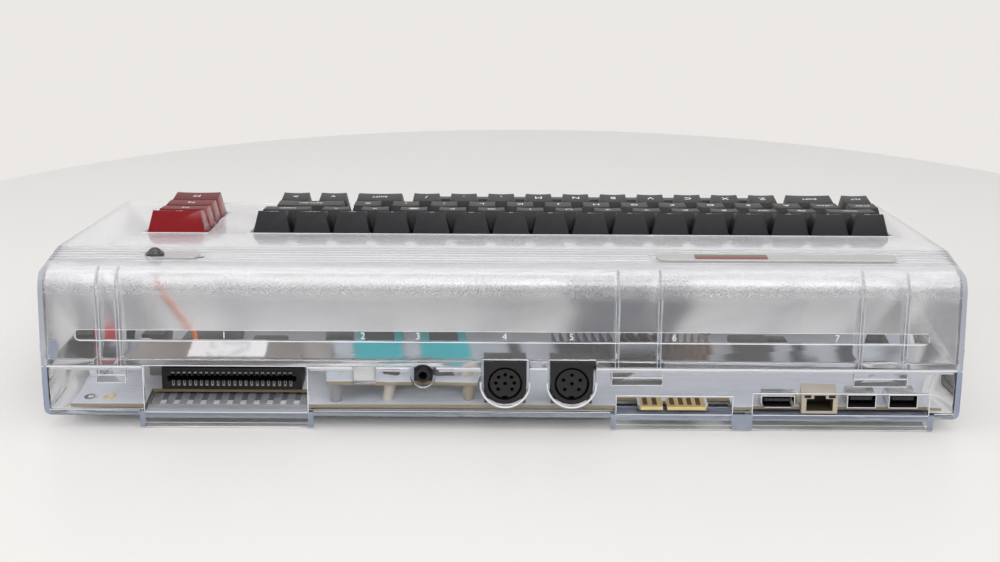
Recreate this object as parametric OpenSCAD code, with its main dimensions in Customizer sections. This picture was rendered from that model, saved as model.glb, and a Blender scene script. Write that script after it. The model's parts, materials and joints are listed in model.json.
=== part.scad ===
// Wedge shaped home computer in a clear two-part case.
// Origin at the middle of the underside, +X to the user's right, +Y to the rear, +Z up.

/* [Case] */
// Width of the case at the seam
case_w = 408; // [400:1:420]
// Depth of the case at the seam
case_d = 216; // [214:1:225]
// Wall thickness of both shells
wall = 3; // [2.4:0.1:3.4]
// Gap between the table and the floor of the case
floor_gap = 5; // [4:0.5:8]
// Height of the seam between the shells
seam_z = 29.5; // [29:0.5:34]
// Height of the flat rear deck
deck_z = 72.5; // [70:0.5:80]
// Length of the flat rear deck, from the rear edge
deck_flat = 42; // [40:1:46]
// Slope of the keyboard deck in degrees
slope = 8.6; // [7.5:0.1:9.5]
// How far the rear wall leans in at the deck
rear_lean = 2; // [0:0.25:4]
// How far each side wall leans in at the deck
side_lean = 0.9; // [0:0.1:3]
// Rounding of the rear edge of the deck
rear_r = 9; // [6:0.5:12]
// Rounding of the front edge of the deck
front_r = 20; // [10:1:22]
// Rounding of the side edges of the deck
side_r = 2.2; // [1:0.1:8]
// Rounding of the upright corners at the front
corner_r = 6; // [4:0.5:10]
// Rounding of the upright corners at the rear
rear_corner_r = 1.5; // [1:0.1:8]
// Rounding of the lower edges
bottom_r = 4; // [3:0.5:5]
// Height of the lip that locates the shells on each other
lip_h = 2.5; // [1.5:0.25:4]
// Clearance between mating shell faces
shell_fit = 0.15; // [0.1:0.05:0.3]

/* [Keyboard] */
// Distance between key centres
pitch = 19.05; // [18.6:0.05:19.2]
// Gap between neighbouring key caps
key_gap = 0.85; // [0.6:0.05:1.2]
// Key travel
travel = 3.6; // [3:0.1:4]
// Height of a key cap
cap_h = 11.5; // [10:0.25:13]
// Wall of a key cap
cap_wall = 1.4; // [1:0.1:1.8]
// How far the top of a cap is narrower than its base on each side
cap_taper = 2.7; // [2:0.1:3.2]
// Depth of the dish in the top of a cap
dish = 0.9; // [0.5:0.1:1.3]
// How far the cap base sits below the deck surface
cap_sink = 1; // [0.5:0.1:1.5]
// Clearance between the caps and the key opening
well_gap = 1.4; // [1:0.1:2]
// Left end of the number row
keys_left = -185; // [-187:0.5:-183]
// Rear edge of the number row behind the bend of the deck, along the slope
keys_back = 43.5; // [42:0.5:48]
// Left end of the function keys
fkeys_left = 141.6; // [140:0.2:143]
// Diameter of a key stem
stem_d = 5.6; // [4.5:0.1:6]
// Thickness of the steel key plate
plate_t = 1.5; // [1:0.1:2]
// Depth of the top of the key plate below the deck surface
plate_depth = 8; // [7.5:0.1:9]

/* [Boards] */
// Thickness of the circuit boards
board_t = 1.6; // [1.2:0.1:2]
// Height of the board stand-offs above the case floor
standoff_h = 1.2; // [1:0.1:2]
// Depth of the main board
board_d = 134; // [120:1:150]
// Clearance between the main board and the case walls
board_gap = 5; // [3:0.5:6]
// Height of the sound and picture board above the main board
av_lift = 9.2; // [8:0.1:10]

/* [Sockets] */
// Contacts in each row of the cartridge socket
contacts = 22; // [18:1:24]
// Distance between the cartridge contacts
contact_pitch = 2.54; // [2:0.01:2.6]
// Middle of the cartridge socket
cartridge_x = 122.5; // [120:0.5:124]
// Height of the cartridge slot
slot_h = 2.6; // [2:0.1:3]
// Middle of the video socket
video_x = -1.4; // [-3:0.1:1]
// Middle of the serial socket
serial_x = -31; // [-33:0.5:-29]
// Radius of the round socket bodies
din_r = 9.5; // [9:0.1:9.8]
// Middle of the audio jack
jack_x = 35; // [33:0.5:37]
// Width of the network socket
net_w = 16; // [15:0.5:16.5]
// Width of a host socket
host_w = 13.1; // [12.5:0.1:13.5]

/* [Small parts] */
// Diameter of the feet
foot_d = 14; // [10:1:18]
// Diameter of the power lamp
lamp_d = 8; // [6:0.5:9]
// Length of the long badge plate
badge_l = 108; // [90:1:112]
// Width of the badge plates
badge_w = 9.5; // [8:0.5:11]
// Diameter of the case screws
screw_d = 3; // [2.5:0.1:3.2]
// Running clearance of screws, stems and pins in their holes
run_fit = 0.2; // [0.15:0.05:0.4]

/* [Hidden] */
$fn = 32;
far = 500;           // longer than any side of the case, for cutting tools
half_w = case_w / 2;
half_d = case_d / 2;
bend_y = half_d - deck_flat;
front_in = 3;        // how far the front edge of the deck stands back from the seam
front_y = -half_d + front_in;
front_z = deck_z - (bend_y - front_y) * tan(slope);
floor_z = floor_gap + wall;
board_z = floor_z + standoff_h;
board_top = board_z + board_t;
arc_steps = 6;
dish_steps = 360;
seat = 0.02;         // overlap that joins two forms of one solid

// ---------- outlines with rounded corners ----------
function unit(v) = v / norm(v);
function left_of(v) = [-v[1], v[0]];
function turned(v, a) = [v[0] * cos(a) - v[1] * sin(a), v[0] * sin(a) + v[1] * cos(a)];
// Corner b of a counter-clockwise outline, moved in by t from both of its edges.
function moved_in(a, b, c, t) =
  let (u = unit(b - a), w = unit(c - b)) b + t * (left_of(u) + left_of(w)) / (1 + u * w);
// Points of an arc of radius r in the corner b.
function corner_arc(a, b, c, r) =
  let (u = unit(a - b), w = unit(c - b), half = acos(u * w) / 2)
  let (centre = b + unit(u + w) * r / sin(half), start = b + u * r / tan(half) - centre)
  [for (i = [0:arc_steps]) centre + turned(start, (180 - 2 * half) * i / arc_steps)];
// Outline from a list of [x, y, radius], inset by t. A radius of 0 is a plain corner.
function outline(corners, t = 0) =
  let (n = len(corners), p = [for (c = corners) [c[0], c[1]]])
  let (q = [for (i = [0:n - 1]) moved_in(p[(i + n - 1) % n], p[i], p[(i + 1) % n], t)])
  [for (i = [0:n - 1])
    each corners[i][2] == 0
      ? [q[i]]
      : corner_arc(q[(i + n - 1) % n], q[i], q[(i + 1) % n], max(corners[i][2] - t, 0.8))];

side_outline = [
  [-half_d + 4, floor_gap, bottom_r], [half_d - 0.4, floor_gap, bottom_r - 1],
  [half_d, seam_z, 0], [half_d - rear_lean, deck_z, rear_r], [bend_y, deck_z, 0],
  [front_y, front_z, front_r], [-half_d, seam_z, 0]
];
back_outline = [
  [-half_w + 0.5, floor_gap, bottom_r], [half_w - 0.5, floor_gap, bottom_r], [half_w, seam_z, 0],
  [half_w - side_lean, deck_z, side_r], [-half_w + side_lean, deck_z, side_r], [-half_w, seam_z, 0]
];
plan_outline = [
  [-half_w, -half_d, corner_r], [half_w, -half_d, corner_r],
  [half_w, half_d, rear_corner_r], [-half_w, half_d, rear_corner_r]
];
slope_outline = [
  [-half_w, -far, 0], [half_w, -far, 0], [half_w, -deck_z, 0],
  [half_w - side_lean, 0, side_r], [-half_w + side_lean, 0, side_r], [-half_w, -deck_z, 0]
];

// Puts children on the sloping deck: +Z is square to it, +Y runs up it, origin at the bend.
module on_slope() {
  translate([0, bend_y, deck_z]) rotate([slope, 0, 0]) children();
}

module along_x(l) {
  rotate([90, 0, 90]) linear_extrude(l, center = true) children();
}

module along_y(l) {
  rotate([90, 0, 0]) linear_extrude(l, center = true) children();
}

// The solid outer form of the whole case, with every face moved in by t.
module case_form(t = 0) {
  intersection() {
    along_x(far) polygon(outline(side_outline, t));
    along_y(far) polygon(outline(back_outline, t));
    linear_extrude(far, center = true) polygon(outline(plan_outline, t));
    on_slope() along_y(2 * far) polygon(outline(slope_outline, t));
  }
}

module above(z) {
  translate([-far / 2, -far / 2, z]) cube(far);
}

module below(z) {
  translate([-far / 2, -far / 2, z - far]) cube(far);
}

// A box from its two opposite corners.
module box(a, b) {
  translate(a) cube(b - a);
}

module post(x, y, z0, z1, d) {
  translate([x, y, z0]) cylinder(h = z1 - z0, d = d);
}

// ---------- key layout ----------
// Each row: [name, left edge in units, width in units]
row_in = -0.25;      // the two lower rows start this far to the left, in units
row_names = ["key_arrow", "key_1", "key_2", "key_3", "key_4", "key_5", "key_6", "key_7",
  "key_8", "key_9", "key_0", "key_plus", "key_minus", "key_pound", "key_home", "key_delete"];
letters = [[1, 1.5, 13], [2, 2 + row_in, 12], [3, 2.5 + row_in, 10]];
space_from = 3 + row_in;
space_units = 9;
fkey_units = 1.5;
// [node, row, left edge, width] of every key that moves by itself
single_keys = concat(
  [for (i = [0:len(row_names) - 1]) [row_names[i], 0, i, 1]],
  [["key_control", 1, 0, 1.5], ["key_restore", 1, 14.5, 1.5],
   ["key_stop", 2, row_in, 1], ["key_shift_lock", 2, 1 + row_in, 1],
   ["key_return", 2, 14 + row_in, 2],
   ["key_symbol", 3, row_in, 1], ["key_shift_left", 3, 1 + row_in, 1.5],
   ["key_shift_right", 3, 12.5 + row_in, 1.5], ["key_cursor_down", 3, 14 + row_in, 1],
   ["key_cursor_right", 3, 15 + row_in, 1], ["space_bar", 4, space_from, space_units]]
);
fkey_names = ["key_f1", "key_f3", "key_f5", "key_f7"];
rows = 5;
fkeys_row_x = (fkeys_left - keys_left) / pitch;   // left edge of the function keys in units
function key_x(left, units) = keys_left + (left + units / 2) * pitch;
function row_y(row) = -keys_back - (row + 0.5) * pitch;
all_keys = concat(
  [for (k = single_keys) [k[1], k[2], k[3]]],
  [for (l = letters) for (i = [0:l[2] - 1]) [l[0], l[1] + i, 1]],
  [for (i = [0:3]) [i, fkeys_row_x, fkey_units]]
);

// ---------- key parts ----------
stem_end = -plate_depth - 1;                 // lower end of a stem at rest
ceiling = cap_h - cap_sink - dish - cap_wall; // inside top of a cap

// A block that narrows upwards, base w by d at z0, top narrower by the taper on each side.
module tapered(w, d, z0, z1, in, back) {
  intersection() {
    along_y(3 * pitch) polygon([[-w / 2, z0], [w / 2, z0], [w / 2 - in, z1], [-w / 2 + in, z1]]);
    along_x(12 * pitch) polygon([[-d / 2, z0], [d / 2, z0], [d / 2 - back, z1], [-d / 2 + in, z1]]);
  }
}

module key_cap(units) {
  w = units * pitch - key_gap;
  d = pitch - key_gap;
  top = cap_h - cap_sink;
  chord = w - 2 * cap_taper;
  dish_r = (chord * chord / 4 + dish * dish) / (2 * dish);
  inner = cap_taper * (ceiling + cap_sink) / cap_h;
  difference() {
    tapered(w, d, -cap_sink, top, cap_taper, cap_taper - 1);
    translate([0, 0, top + dish_r - dish]) rotate([90, 0, 0])
      cylinder(h = 2 * pitch, r = dish_r, center = true, $fn = dish_steps);
    tapered(w - 2 * cap_wall, d - 2 * cap_wall, -cap_sink, ceiling, inner, inner - 0.6);
  }
  translate([0, 0, stem_end]) cylinder(h = ceiling - stem_end + seat, d = stem_d);
}

// The space bar has a plain rounded top in place of a dish.
module space_cap() {
  w = space_units * pitch - key_gap;
  d = pitch - key_gap;
  low = 2;
  top = cap_h - cap_sink - low;
  inside = top - cap_wall - 1;
  difference() {
    tapered(w, d, -cap_sink, top, cap_taper, cap_taper - 1);
    tapered(w - 2 * cap_wall, d - 2 * cap_wall, -cap_sink, inside, cap_taper - 0.6, cap_taper - 1.6);
  }
  translate([0, 0, stem_end]) cylinder(h = inside - stem_end + seat, d = stem_d);
}

module place_key(row, left, units) {
  on_slope() translate([key_x(left, units), row_y(row), 0]) children();
}

module letter_row(row) {
  color("#25262a") for (i = [0:row[2] - 1]) place_key(row[0], row[1] + i, 1) key_cap(1);
}

module function_key(i) {
  color("#b01320") place_key(i, fkeys_row_x, fkey_units) key_cap(fkey_units);
}

// ---------- keyboard carrier ----------
switch_w = 14;
switch_flange = 15.6;
switch_top = -cap_sink - travel - 0.5 - cap_wall;
switch_h = 5;                                // below the top of the plate
plate_edge = 6;
plate_left = keys_left + row_in * pitch - plate_edge + 1;
plate_right = fkeys_left + fkey_units * pitch + plate_edge;
plate_back = -keys_back + plate_edge;
plate_front = -keys_back - rows * pitch - plate_edge / 2;

module key_plate() {
  color("#50545a") on_slope() difference() {
    box([plate_left, plate_front, -plate_depth - plate_t], [plate_right, plate_back, -plate_depth]);
    for (k = all_keys) translate([key_x(k[1], k[2]), row_y(k[0]), -plate_depth])
      cube([switch_w + 2 * run_fit, switch_w + 2 * run_fit, 3 * plate_t], center = true);
    for (p = plate_posts) translate([p[0], p[1], -plate_depth])
      cylinder(h = 3 * plate_t, d = screw_d + 2 * run_fit, center = true);
  }
}

module key_switch() {
  difference() {
    union() {
      box([-switch_flange / 2, -switch_flange / 2, -plate_depth],
          [switch_flange / 2, switch_flange / 2, switch_top]);
      box([-switch_w / 2, -switch_w / 2, -plate_depth - switch_h],
          [switch_w / 2, switch_w / 2, -plate_depth + seat]);
    }
    translate([0, 0, stem_end - travel - 0.4])
      cylinder(h = far, d = stem_d + 2 * run_fit);
  }
}

module key_switches() {
  color("#3a3c40") for (k = all_keys) place_key(k[0], k[1], k[2]) key_switch();
}

module keyboard_board() {
  color("#e9ecec") on_slope() difference() {
    box([plate_left + 2, plate_front + 2, -plate_depth - switch_h - board_t],
        [plate_right - 2, plate_back - 4, -plate_depth - switch_h]);
    for (p = plate_posts) translate([p[0], p[1], -plate_depth - switch_h])
      cylinder(h = 3 * board_t, d = 9, center = true);
  }
}

// ---------- case features ----------
ridge_pitch = 3.75;
ridge_count = 6;
ridge_last = 38.3;                           // distance of the front groove from the rear edge
ridge_w = 1.1;
ridge_deep = 0.7;
badge_x = -122.6;
badge_back = 26.2;                           // distance of the badges from the rear edge
small_badge_l = 25;
small_badge_x = 147.8;
lamp_x = small_badge_x + small_badge_l / 2 - badge_w / 2;
pad_gap = 1.6;                               // plain border round a badge
plate_posts = concat(
  [for (x = [-150, -50, 50, 125]) [x, -keys_back + plate_edge / 2 + 0.2]],
  [for (x = [-165, 60, 110, 160]) [x, row_y(4)]]
);
post_d = 6.6;
latches = [[173.4, 8.8], [-60, 18.5], [-167.9, 19.7]];   // [middle, distance between its ribs]
latch_side = 2.1;                            // how far a tongue reaches past each rib
latch_drop = 9;
latch_t = 2;
rib_t = 1.2;
strip_z = 41.2;
strip_h = 4.8;
strip_side = 16;
strip_deep = 0.5;
strip_r = 1.8;
case_screws = [-150, 0, 150];
case_screw_y = -half_d + 17;
case_post_z = 18;
case_post_d = 9;

module badge_pad(x, l, extra) {
  translate([x, half_d - badge_back, 0]) {
    cube([l - badge_w, badge_w + 2 * extra, far], center = true);
    for (s = [-1, 1]) translate([s * (l - badge_w) / 2, 0, 0])
      cylinder(h = far, d = badge_w + 2 * extra, center = true);
  }
}

module deck_grooves() {
  difference() {
    for (i = [0:ridge_count - 1])
      translate([0, half_d - ridge_last + i * ridge_pitch, deck_z])
        cube([case_w, ridge_w, 2 * ridge_deep], center = true);
    badge_pad(badge_x, badge_l, pad_gap);
    badge_pad(small_badge_x, small_badge_l, pad_gap);
    translate([small_badge_x - small_badge_l / 2 - 9, half_d - 25, 0])
      cube([12, 15, far], center = true);
  }
}

// The opening that the keys stand in: stepped ends for the staggered rows.
module key_opening() {
  g = well_gap - key_gap / 2;
  deep = 4 * wall;
  for (r = [0:1]) key_slot(0, 16, 2 * r, 2 * r + 1, r * row_in);
  key_slot(space_from, space_units, 3, 4, 0);
  translate([fkeys_left - g, row_y(3) - pitch / 2 - g, -deep])
    cube([fkey_units * pitch + 2 * g, 4 * pitch + 2 * g, 2 * deep]);
}

module key_slot(left, units, row0, row1, shift) {
  g = well_gap - key_gap / 2;
  deep = 4 * wall;
  translate([keys_left + (left + shift) * pitch - g, row_y(row1) - pitch / 2 - g, -deep])
    cube([units * pitch + 2 * g, (row1 - row0 + 1) * pitch + 2 * g, 2 * deep]);
}

// ---------- rear openings ----------
port_r = din_r + 1.1;
din_z = board_top + 11;
din_face = half_d - 0.6;
jack_z = board_top + av_lift + board_t + 3.6;
jack_hole = 11;
window = [55.9, 65.9];
ledge_h = 7.2;
ledge_z = 0.5;
ledge_t = 2.4;
ledge_deep = 32;
cartridge_w = 72.4;
tape = [-102.4, -51];                        // left and right ends of the tape opening
wide = [-189.8, -111.6];                     // ends of the wide opening
port_low = ledge_z + ledge_h;
tape_high = 16.4;
wide_high = 17.8;

module din_cut(x) {
  translate([x, half_d, din_z]) rotate([90, 0, 0]) cylinder(h = 6 * wall, r = port_r, center = true);
  box([x - port_r, half_d - 3 * wall, din_z], [x + port_r, half_d + wall, din_z + din_r + 1.6]);
}

module rear_cuts() {
  box([cartridge_x - cartridge_w / 2, half_d - 3 * wall, port_low],
      [cartridge_x + cartridge_w / 2, half_d + wall, seam_z + seat]);
  din_cut(video_x);
  din_cut(serial_x);
  translate([jack_x, half_d, jack_z]) rotate([90, 0, 0])
    cylinder(h = 6 * wall, d = jack_hole, center = true);
  box([window[0], half_d - 3 * wall, board_top + av_lift + board_t],
      [window[1], half_d + wall, seam_z + seat]);
  box([tape[0], half_d - 3 * wall, port_low], [tape[1], half_d + wall, tape_high]);
  box([wide[0], half_d - 3 * wall, port_low], [wide[1], half_d + wall, wide_high]);
}

// A tray that carries a rear opening down to the table: face, cheeks and floor.
module ledge(x0, x1, deep) {
  y = half_d;
  difference() {
    box([x0 - ledge_t, y - deep, ledge_z], [x1 + ledge_t, y, port_low]);
    box([x0, y - deep + ledge_t, ledge_z - 1], [x1, y - ledge_t, port_low - ledge_t]);
  }
}

module tray_slots() {
  slots = 11;
  slot_pitch = 6;
  for (i = [0:slots - 1])
    translate([cartridge_x + (i - (slots - 1) / 2) * slot_pitch, half_d - 19, port_low])
      cube([2.6, 13, 4 * ledge_t], center = true);
}

// ---------- side openings: power inlet, switch and two control sockets ----------
inlet_y = half_d - 54;
switch_y = half_d - 80;
controls = [half_d - 112, half_d - 146];
control_l = 31;
control_h = 12.6;
control_z = board_top + 0.3;
switch_l = 21;
switch_hgt = 13;
switch_z = board_top + 1;

module side_cuts() {
  translate([half_w, inlet_y, din_z]) rotate([0, 90, 0]) cylinder(h = 6 * wall, r = port_r, center = true);
  box([half_w - 3 * wall, inlet_y - port_r, din_z], [half_w + wall, inlet_y + port_r, din_z + din_r + 1.6]);
  for (y = controls)
    box([half_w - 3 * wall, y - control_l / 2 - 0.6, control_z - 0.6],
        [half_w + wall, y + control_l / 2 + 0.6, control_z + control_h + 0.6]);
  box([half_w - 3 * wall, switch_y - switch_l / 2 - 0.3, switch_z - 0.3],
      [half_w + wall, switch_y + switch_l / 2 + 0.3, switch_z + switch_hgt + 0.3]);
}

// ---------- shells ----------
module seam_lip(gap) {
  intersection() {
    difference() {
      case_form(wall / 2 + gap);
      case_form(wall);
    }
    box([-far / 2, -far / 2, seam_z - seat], [far / 2, far / 2, seam_z + lip_h]);
  }
}

module upper_shell() {
  color("#dfe6ee") difference() {
    union() {
      intersection() {
        difference() {
          case_form();
          case_form(wall);
        }
        above(seam_z);
      }
      intersection() {
        case_form(wall - seat);
        union() {
          on_slope() for (p = plate_posts)
            post(p[0], p[1], -plate_depth, 0, post_d);
          for (x = case_screws) post(x, case_screw_y, case_post_z, deck_z, case_post_d);
          for (l = latches) latch_ribs(l);
        }
      }
      for (l = latches) latch_tab(l);
    }
    difference() {
      intersection() {
        case_form(wall / 2);
        box([-far / 2, -far / 2, seam_z - 1], [far / 2, far / 2, seam_z + lip_h + shell_fit]);
      }
      case_form(wall + seat);
    }
    on_slope() key_opening();
    on_slope() for (p = plate_posts)
      post(p[0], p[1], -plate_depth - 1, -wall, screw_d);
    for (x = case_screws) post(x, case_screw_y, case_post_z - 1, case_post_z + 12, screw_d);
    deck_grooves();
    name_strip();
    lamp_hole();
    rear_cuts();
    side_cuts();
  }
}

// The long shallow recess across the rear wall.
module name_strip() {
  x = half_w - strip_side;
  translate([0, half_d - strip_deep - 1 + 2 * wall, strip_z]) along_y(4 * wall)
    polygon(outline([[-x, 0, strip_r], [x, 0, strip_r], [x, strip_h, strip_r], [-x, strip_h, strip_r]]));
}

// Two upright ribs inside the rear wall, one at each side of a latch.
module latch_ribs(l) {
  for (s = [-1, 1])
    translate([l[0] + s * l[1] / 2 - rib_t / 2, half_d - 14, seam_z + lip_h + 0.5])
      cube([rib_t, 14, deck_z]);
}

// A tongue that hangs from the upper shell behind the rear wall of the lower shell.
module latch_tab(l) {
  in = half_d - wall - shell_fit - latch_t - 0.2;
  box([l[0] - l[1] / 2 - latch_side, in, seam_z - latch_drop],
      [l[0] + l[1] / 2 + latch_side, in + latch_t, seam_z + lip_h + 0.8]);
  box([l[0] - l[1] / 2 + rib_t, in, seam_z + lip_h],
      [l[0] + l[1] / 2 - rib_t, in + latch_t, seam_z + lip_h + 8]);
  box([l[0] - l[1] / 2 + rib_t, in, seam_z + lip_h + 0.6],
      [l[0] + l[1] / 2 - rib_t, half_d - wall + 0.1, seam_z + lip_h + 8]);
}

module lamp_hole() {
  post(lamp_x, lamp_y, deck_z - 2 * wall, deck_z + wall, lamp_d - 1.6 + 2 * run_fit);
}

foot_at = [for (sx = [-1, 1]) for (sy = [-1, 1]) [sx * (half_w - 26), sy * (half_d - 46)]];
foot_recess = 1;
foot_boss = 2;
board_left = -half_w + wall + board_gap;
board_right = half_w - wall - board_gap - 4;
board_back = half_d - wall - 0.6;
board_front = board_back - board_d;
// Screws of the main board: [x, distance from its rear edge]
screw_spots = [[board_left + 16, 44.4], [-104, 38.4], [-100, 124.4], [20, 124.4],
  [board_right - 92, 76.4], [board_right - 42, 124.4]];
board_screws = [for (s = screw_spots) [s[0], board_back - s[1]]];

module lower_shell() {
  color("#e6ecf2") difference() {
    union() {
      intersection() {
        difference() {
          case_form();
          difference() {
            case_form(wall);
            below(floor_z);
          }
        }
        below(seam_z);
      }
      seam_lip(shell_fit);
      ledge(cartridge_x - cartridge_w / 2, cartridge_x + cartridge_w / 2, ledge_deep);
      for (p = [tape, wide]) ledge(p[0], p[1], ledge_deep - 14);
      box([wide[1], half_d - wall, ledge_z], [tape[0], half_d, port_low]);
      for (f = foot_at) post(f[0], f[1], floor_gap - foot_boss, floor_gap + seat, foot_d + 4);
      for (s = board_screws) post(s[0], s[1], floor_z - seat, board_z, 8);
      for (x = case_screws)
        post(x, case_screw_y, floor_gap + seat, case_post_z, case_post_d + 3);
    }
    rear_cuts();
    side_cuts();
    tray_slots();
    for (l = latches) latch_room(l);
    for (f = foot_at)
      post(f[0], f[1], floor_gap - foot_boss - 1, floor_gap - foot_boss + foot_recess, foot_d);
    for (s = board_screws) post(s[0], s[1], floor_gap + 1, board_z + 1, screw_d);
    for (x = case_screws) {
      post(x, case_screw_y, 0, case_post_z - 5, 7);
      post(x, case_screw_y, 0, case_post_z + 1, screw_d + 2 * run_fit);
    }
  }
}

// Room in the lip for a latch tongue.
module latch_room(l) {
  w = l[1] / 2 + latch_side + 0.5;
  box([l[0] - w, half_d - 3 * wall, seam_z - seat / 2], [l[0] + w, half_d - wall / 2, seam_z + lip_h + 1]);
}

// ---------- boards and their parts ----------
tongues = [[-90.5, -73.7], [-71.8, -62.3]];  // tape contacts, [left, right]
tongue_out = 1.6;
net_x = -141.4;
net_deep = 18;
video_out_x = -122.8;
hosts = [-160, -178.5];
av_left = 11;
av_right = 78;
av_back = half_d - wall - 0.6;
av_front = av_back - 44;

module main_board() {
  color("#eef0ee") difference() {
    union() {
      box([board_left, board_front, board_z], [board_right, board_back, board_top]);
      box([tongues[0][0] - 1, board_back - 1, board_z], [tongues[1][1] + 1, half_d - tongue_out, board_top]);
    }
    box([tongues[0][1], half_d - wall - 3, board_z - 1], [tongues[1][0], half_d, board_top + 1]);
    box([net_x - net_w / 2 - 0.3, board_back - net_deep, board_z - 1],
        [net_x + net_w / 2 + 0.3, board_back + 1, board_top + 1]);
    box([cartridge_x - cartridge_w / 2, cart_back - 0.6, board_z - 1],
        [cartridge_x + cartridge_w / 2, board_back + 1, board_top + 1]);
    for (s = board_screws) post(s[0], s[1], board_z - 1, board_top + 1, screw_d + 2 * run_fit);
  }
}

// Chips and connectors on the main board: [x, distance from its rear edge, width, depth, height]
chips = [[-20, 94.4, 18, 12, 1.6], [board_right - 45.5, 96.4, 30, 34, 4.5], [-119.5, 71.4, 20, 30, 10],
  [board_right - 112, 112.4, 14, 22, 1.6], [board_right - 76, 104.4, 18, 14, 1.6],
  [-150, 84.4, 14, 10, 1.6], [board_right - 16, 99.4, 12, 20, 8], [board_left + 28, 60.4, 9, 6, 9],
  [board_right - 5, 29.4, 8, 5, 12], [-134, 108.4, 22, 10, 2]];
// Upright capacitors: [x, distance from the board's rear edge, diameter, height]
capacitors = [[board_right - 10.5, 36.4, 7, 28], [board_left + 18, 58.4, 8, 18], [-142, 56.4, 6.3, 11],
  [-8, 58.4, 6.3, 11], [board_right - 20, 56.4, 8, 14]];
sink_back = board_back - 42.4;               // rear end of the heat sink
sink_l = 34;
sink = [-97, -28, sink_back - sink_l, sink_back];   // left, right, front, rear
sink_chip_h = 2.6;
sink_base_h = 2.6;
sink_h = 13.2;
sink_fins = 18;
fin_t = 1.2;

module board_parts() {
  color("#2b2d31") {
    for (c = chips)
      box([c[0] - c[2] / 2, board_back - c[1] - c[3] / 2, board_top],
          [c[0] + c[2] / 2, board_back - c[1] + c[3] / 2, board_top + c[4]]);
    for (c = capacitors) post(c[0], board_back - c[1], board_top, board_top + c[3], c[2]);
    box([sink[0] + 16, sink[2] + 4, board_top], [sink[1] - 16, sink[3] - 4, board_top + sink_chip_h]);
    heat_sink();
  }
}

// A finned heat sink on the largest chip.
module heat_sink() {
  z = board_top + sink_chip_h;
  box([sink[0], sink[2], z], [sink[1], sink[3], z + sink_base_h]);
  for (i = [0:sink_fins - 1])
    translate([sink[0] + i * (sink[1] - sink[0] - fin_t) / (sink_fins - 1), sink[2], z])
      cube([fin_t, sink[3] - sink[2], sink_h - sink_chip_h]);
}

shield_back = 38;                            // distance of the shield from the rear of the case
shield_l = 12;
shield = [79, board_right - 29, half_d - shield_back - shield_l, half_d - shield_back];
shield_h = 15.5;

module shield_box() {
  t = 0.8;
  color("#8f8a86") difference() {
    box([shield[0], shield[2], board_top], [shield[1], shield[3], board_top + shield_h]);
    box([shield[0] + t, shield[2] + t, board_top - 1], [shield[1] - t, shield[3] - t, board_top + shield_h - t]);
  }
}

cart_in = 20.4;                              // distance of the cartridge socket from the rear of the case
cart_back = half_d - cart_in;
cart_deep = 15;
cart_h = 10.4;
cart_base = board_top;

module cartridge_socket() {
  w = contacts * contact_pitch + 7.6;
  slot_w = contacts * contact_pitch + 2.6;
  mid = cart_base + cart_h / 2;
  color("#232427") difference() {
    box([cartridge_x - w / 2, cart_back - cart_deep, cart_base],
        [cartridge_x + w / 2, cart_back, cart_base + cart_h]);
    box([cartridge_x - slot_w / 2, cart_back - 11, mid - slot_h / 2],
        [cartridge_x + slot_w / 2, cart_back + 1, mid + slot_h / 2]);
    for (i = [0:contacts - 1])
      translate([cartridge_x + (i - (contacts - 1) / 2) * contact_pitch, cart_back, mid])
        cube([1.3, 3, cart_h - 3.2], center = true);
  }
}

// Parts on the sound and picture board: [x, distance from its rear edge, width, depth, height]
av_parts = [[61.4, 1, 9, 8, 7], [49, 8, 6, 6, 1.6], [26, 8, 9, 5, 6], [30, 26, 12, 8, 2], [62, 26, 10, 8, 2]];

module av_board() {
  z = board_top + av_lift;
  color("#eef0ee") {
    box([av_left, av_front, z], [av_right, av_back, z + board_t]);
    for (x = [av_left + 4, 51, av_right - 4]) for (y = [av_front + 4, av_back - 5])
      post(x, y, board_top, z + seat, 5);
    for (c = av_parts)
      box([c[0] - c[2] / 2, av_back - c[1] - c[3], z + board_t - seat],
          [c[0] + c[2] / 2, av_back - c[1], z + board_t + c[4]]);
    post(16.5, av_back - 9, z + board_t - seat, z + board_t + 7.2, 5);
  }
}

module audio_jack() {
  z = board_top + av_lift + board_t;
  color("#26272b") difference() {
    union() {
      box([jack_x - 4.1, av_back - 14, z], [jack_x + 4.1, av_back - 0.5, z + 7.8]);
      translate([jack_x, half_d - 1, jack_z]) rotate([90, 0, 0]) cylinder(h = 5, d = 6.6);
    }
    translate([jack_x, half_d, jack_z]) rotate([90, 0, 0]) cylinder(h = 14, d = 3.7);
  }
}

// A round socket that faces +Y with its rear face at y = 0: body, ring groove and pin holes.
module din_socket(pins, deep = 14) {
  disc_r = 6.7;
  groove_r = 7.7;
  difference() {
    union() {
      rotate([90, 0, 0]) cylinder(h = deep, r = din_r);
      box([-din_r, -deep, 0], [din_r, 0, din_r + 0.6]);
      box([-din_r, -deep, board_top - din_z], [din_r, -4.5, 0]);
    }
    rotate([90, 0, 0]) difference() {
      translate([0, 0, -1]) cylinder(h = 8, r = groove_r);
      translate([0, 0, 0.4]) cylinder(h = 8, r = disc_r);
    }
    for (i = [0:pins - 2]) rotate([0, (i - (pins - 2) / 2) * 262 / (pins - 2), 0])
      translate([0, 1, 3.5 + 0.6]) rotate([90, 0, 0]) cylinder(h = 8, d = 1.7);
    translate([0, 1, 0]) rotate([90, 0, 0]) cylinder(h = 8, d = 1.7);
    box([-1.2, -6, -groove_r], [1.2, 1, -disc_r + 0.9]);
  }
}

module video_socket() {
  color("#1d1e20") translate([video_x, din_face, din_z]) din_socket(8);
}

module serial_socket() {
  color("#1d1e20") translate([serial_x, din_face, din_z]) din_socket(6);
}

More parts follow.
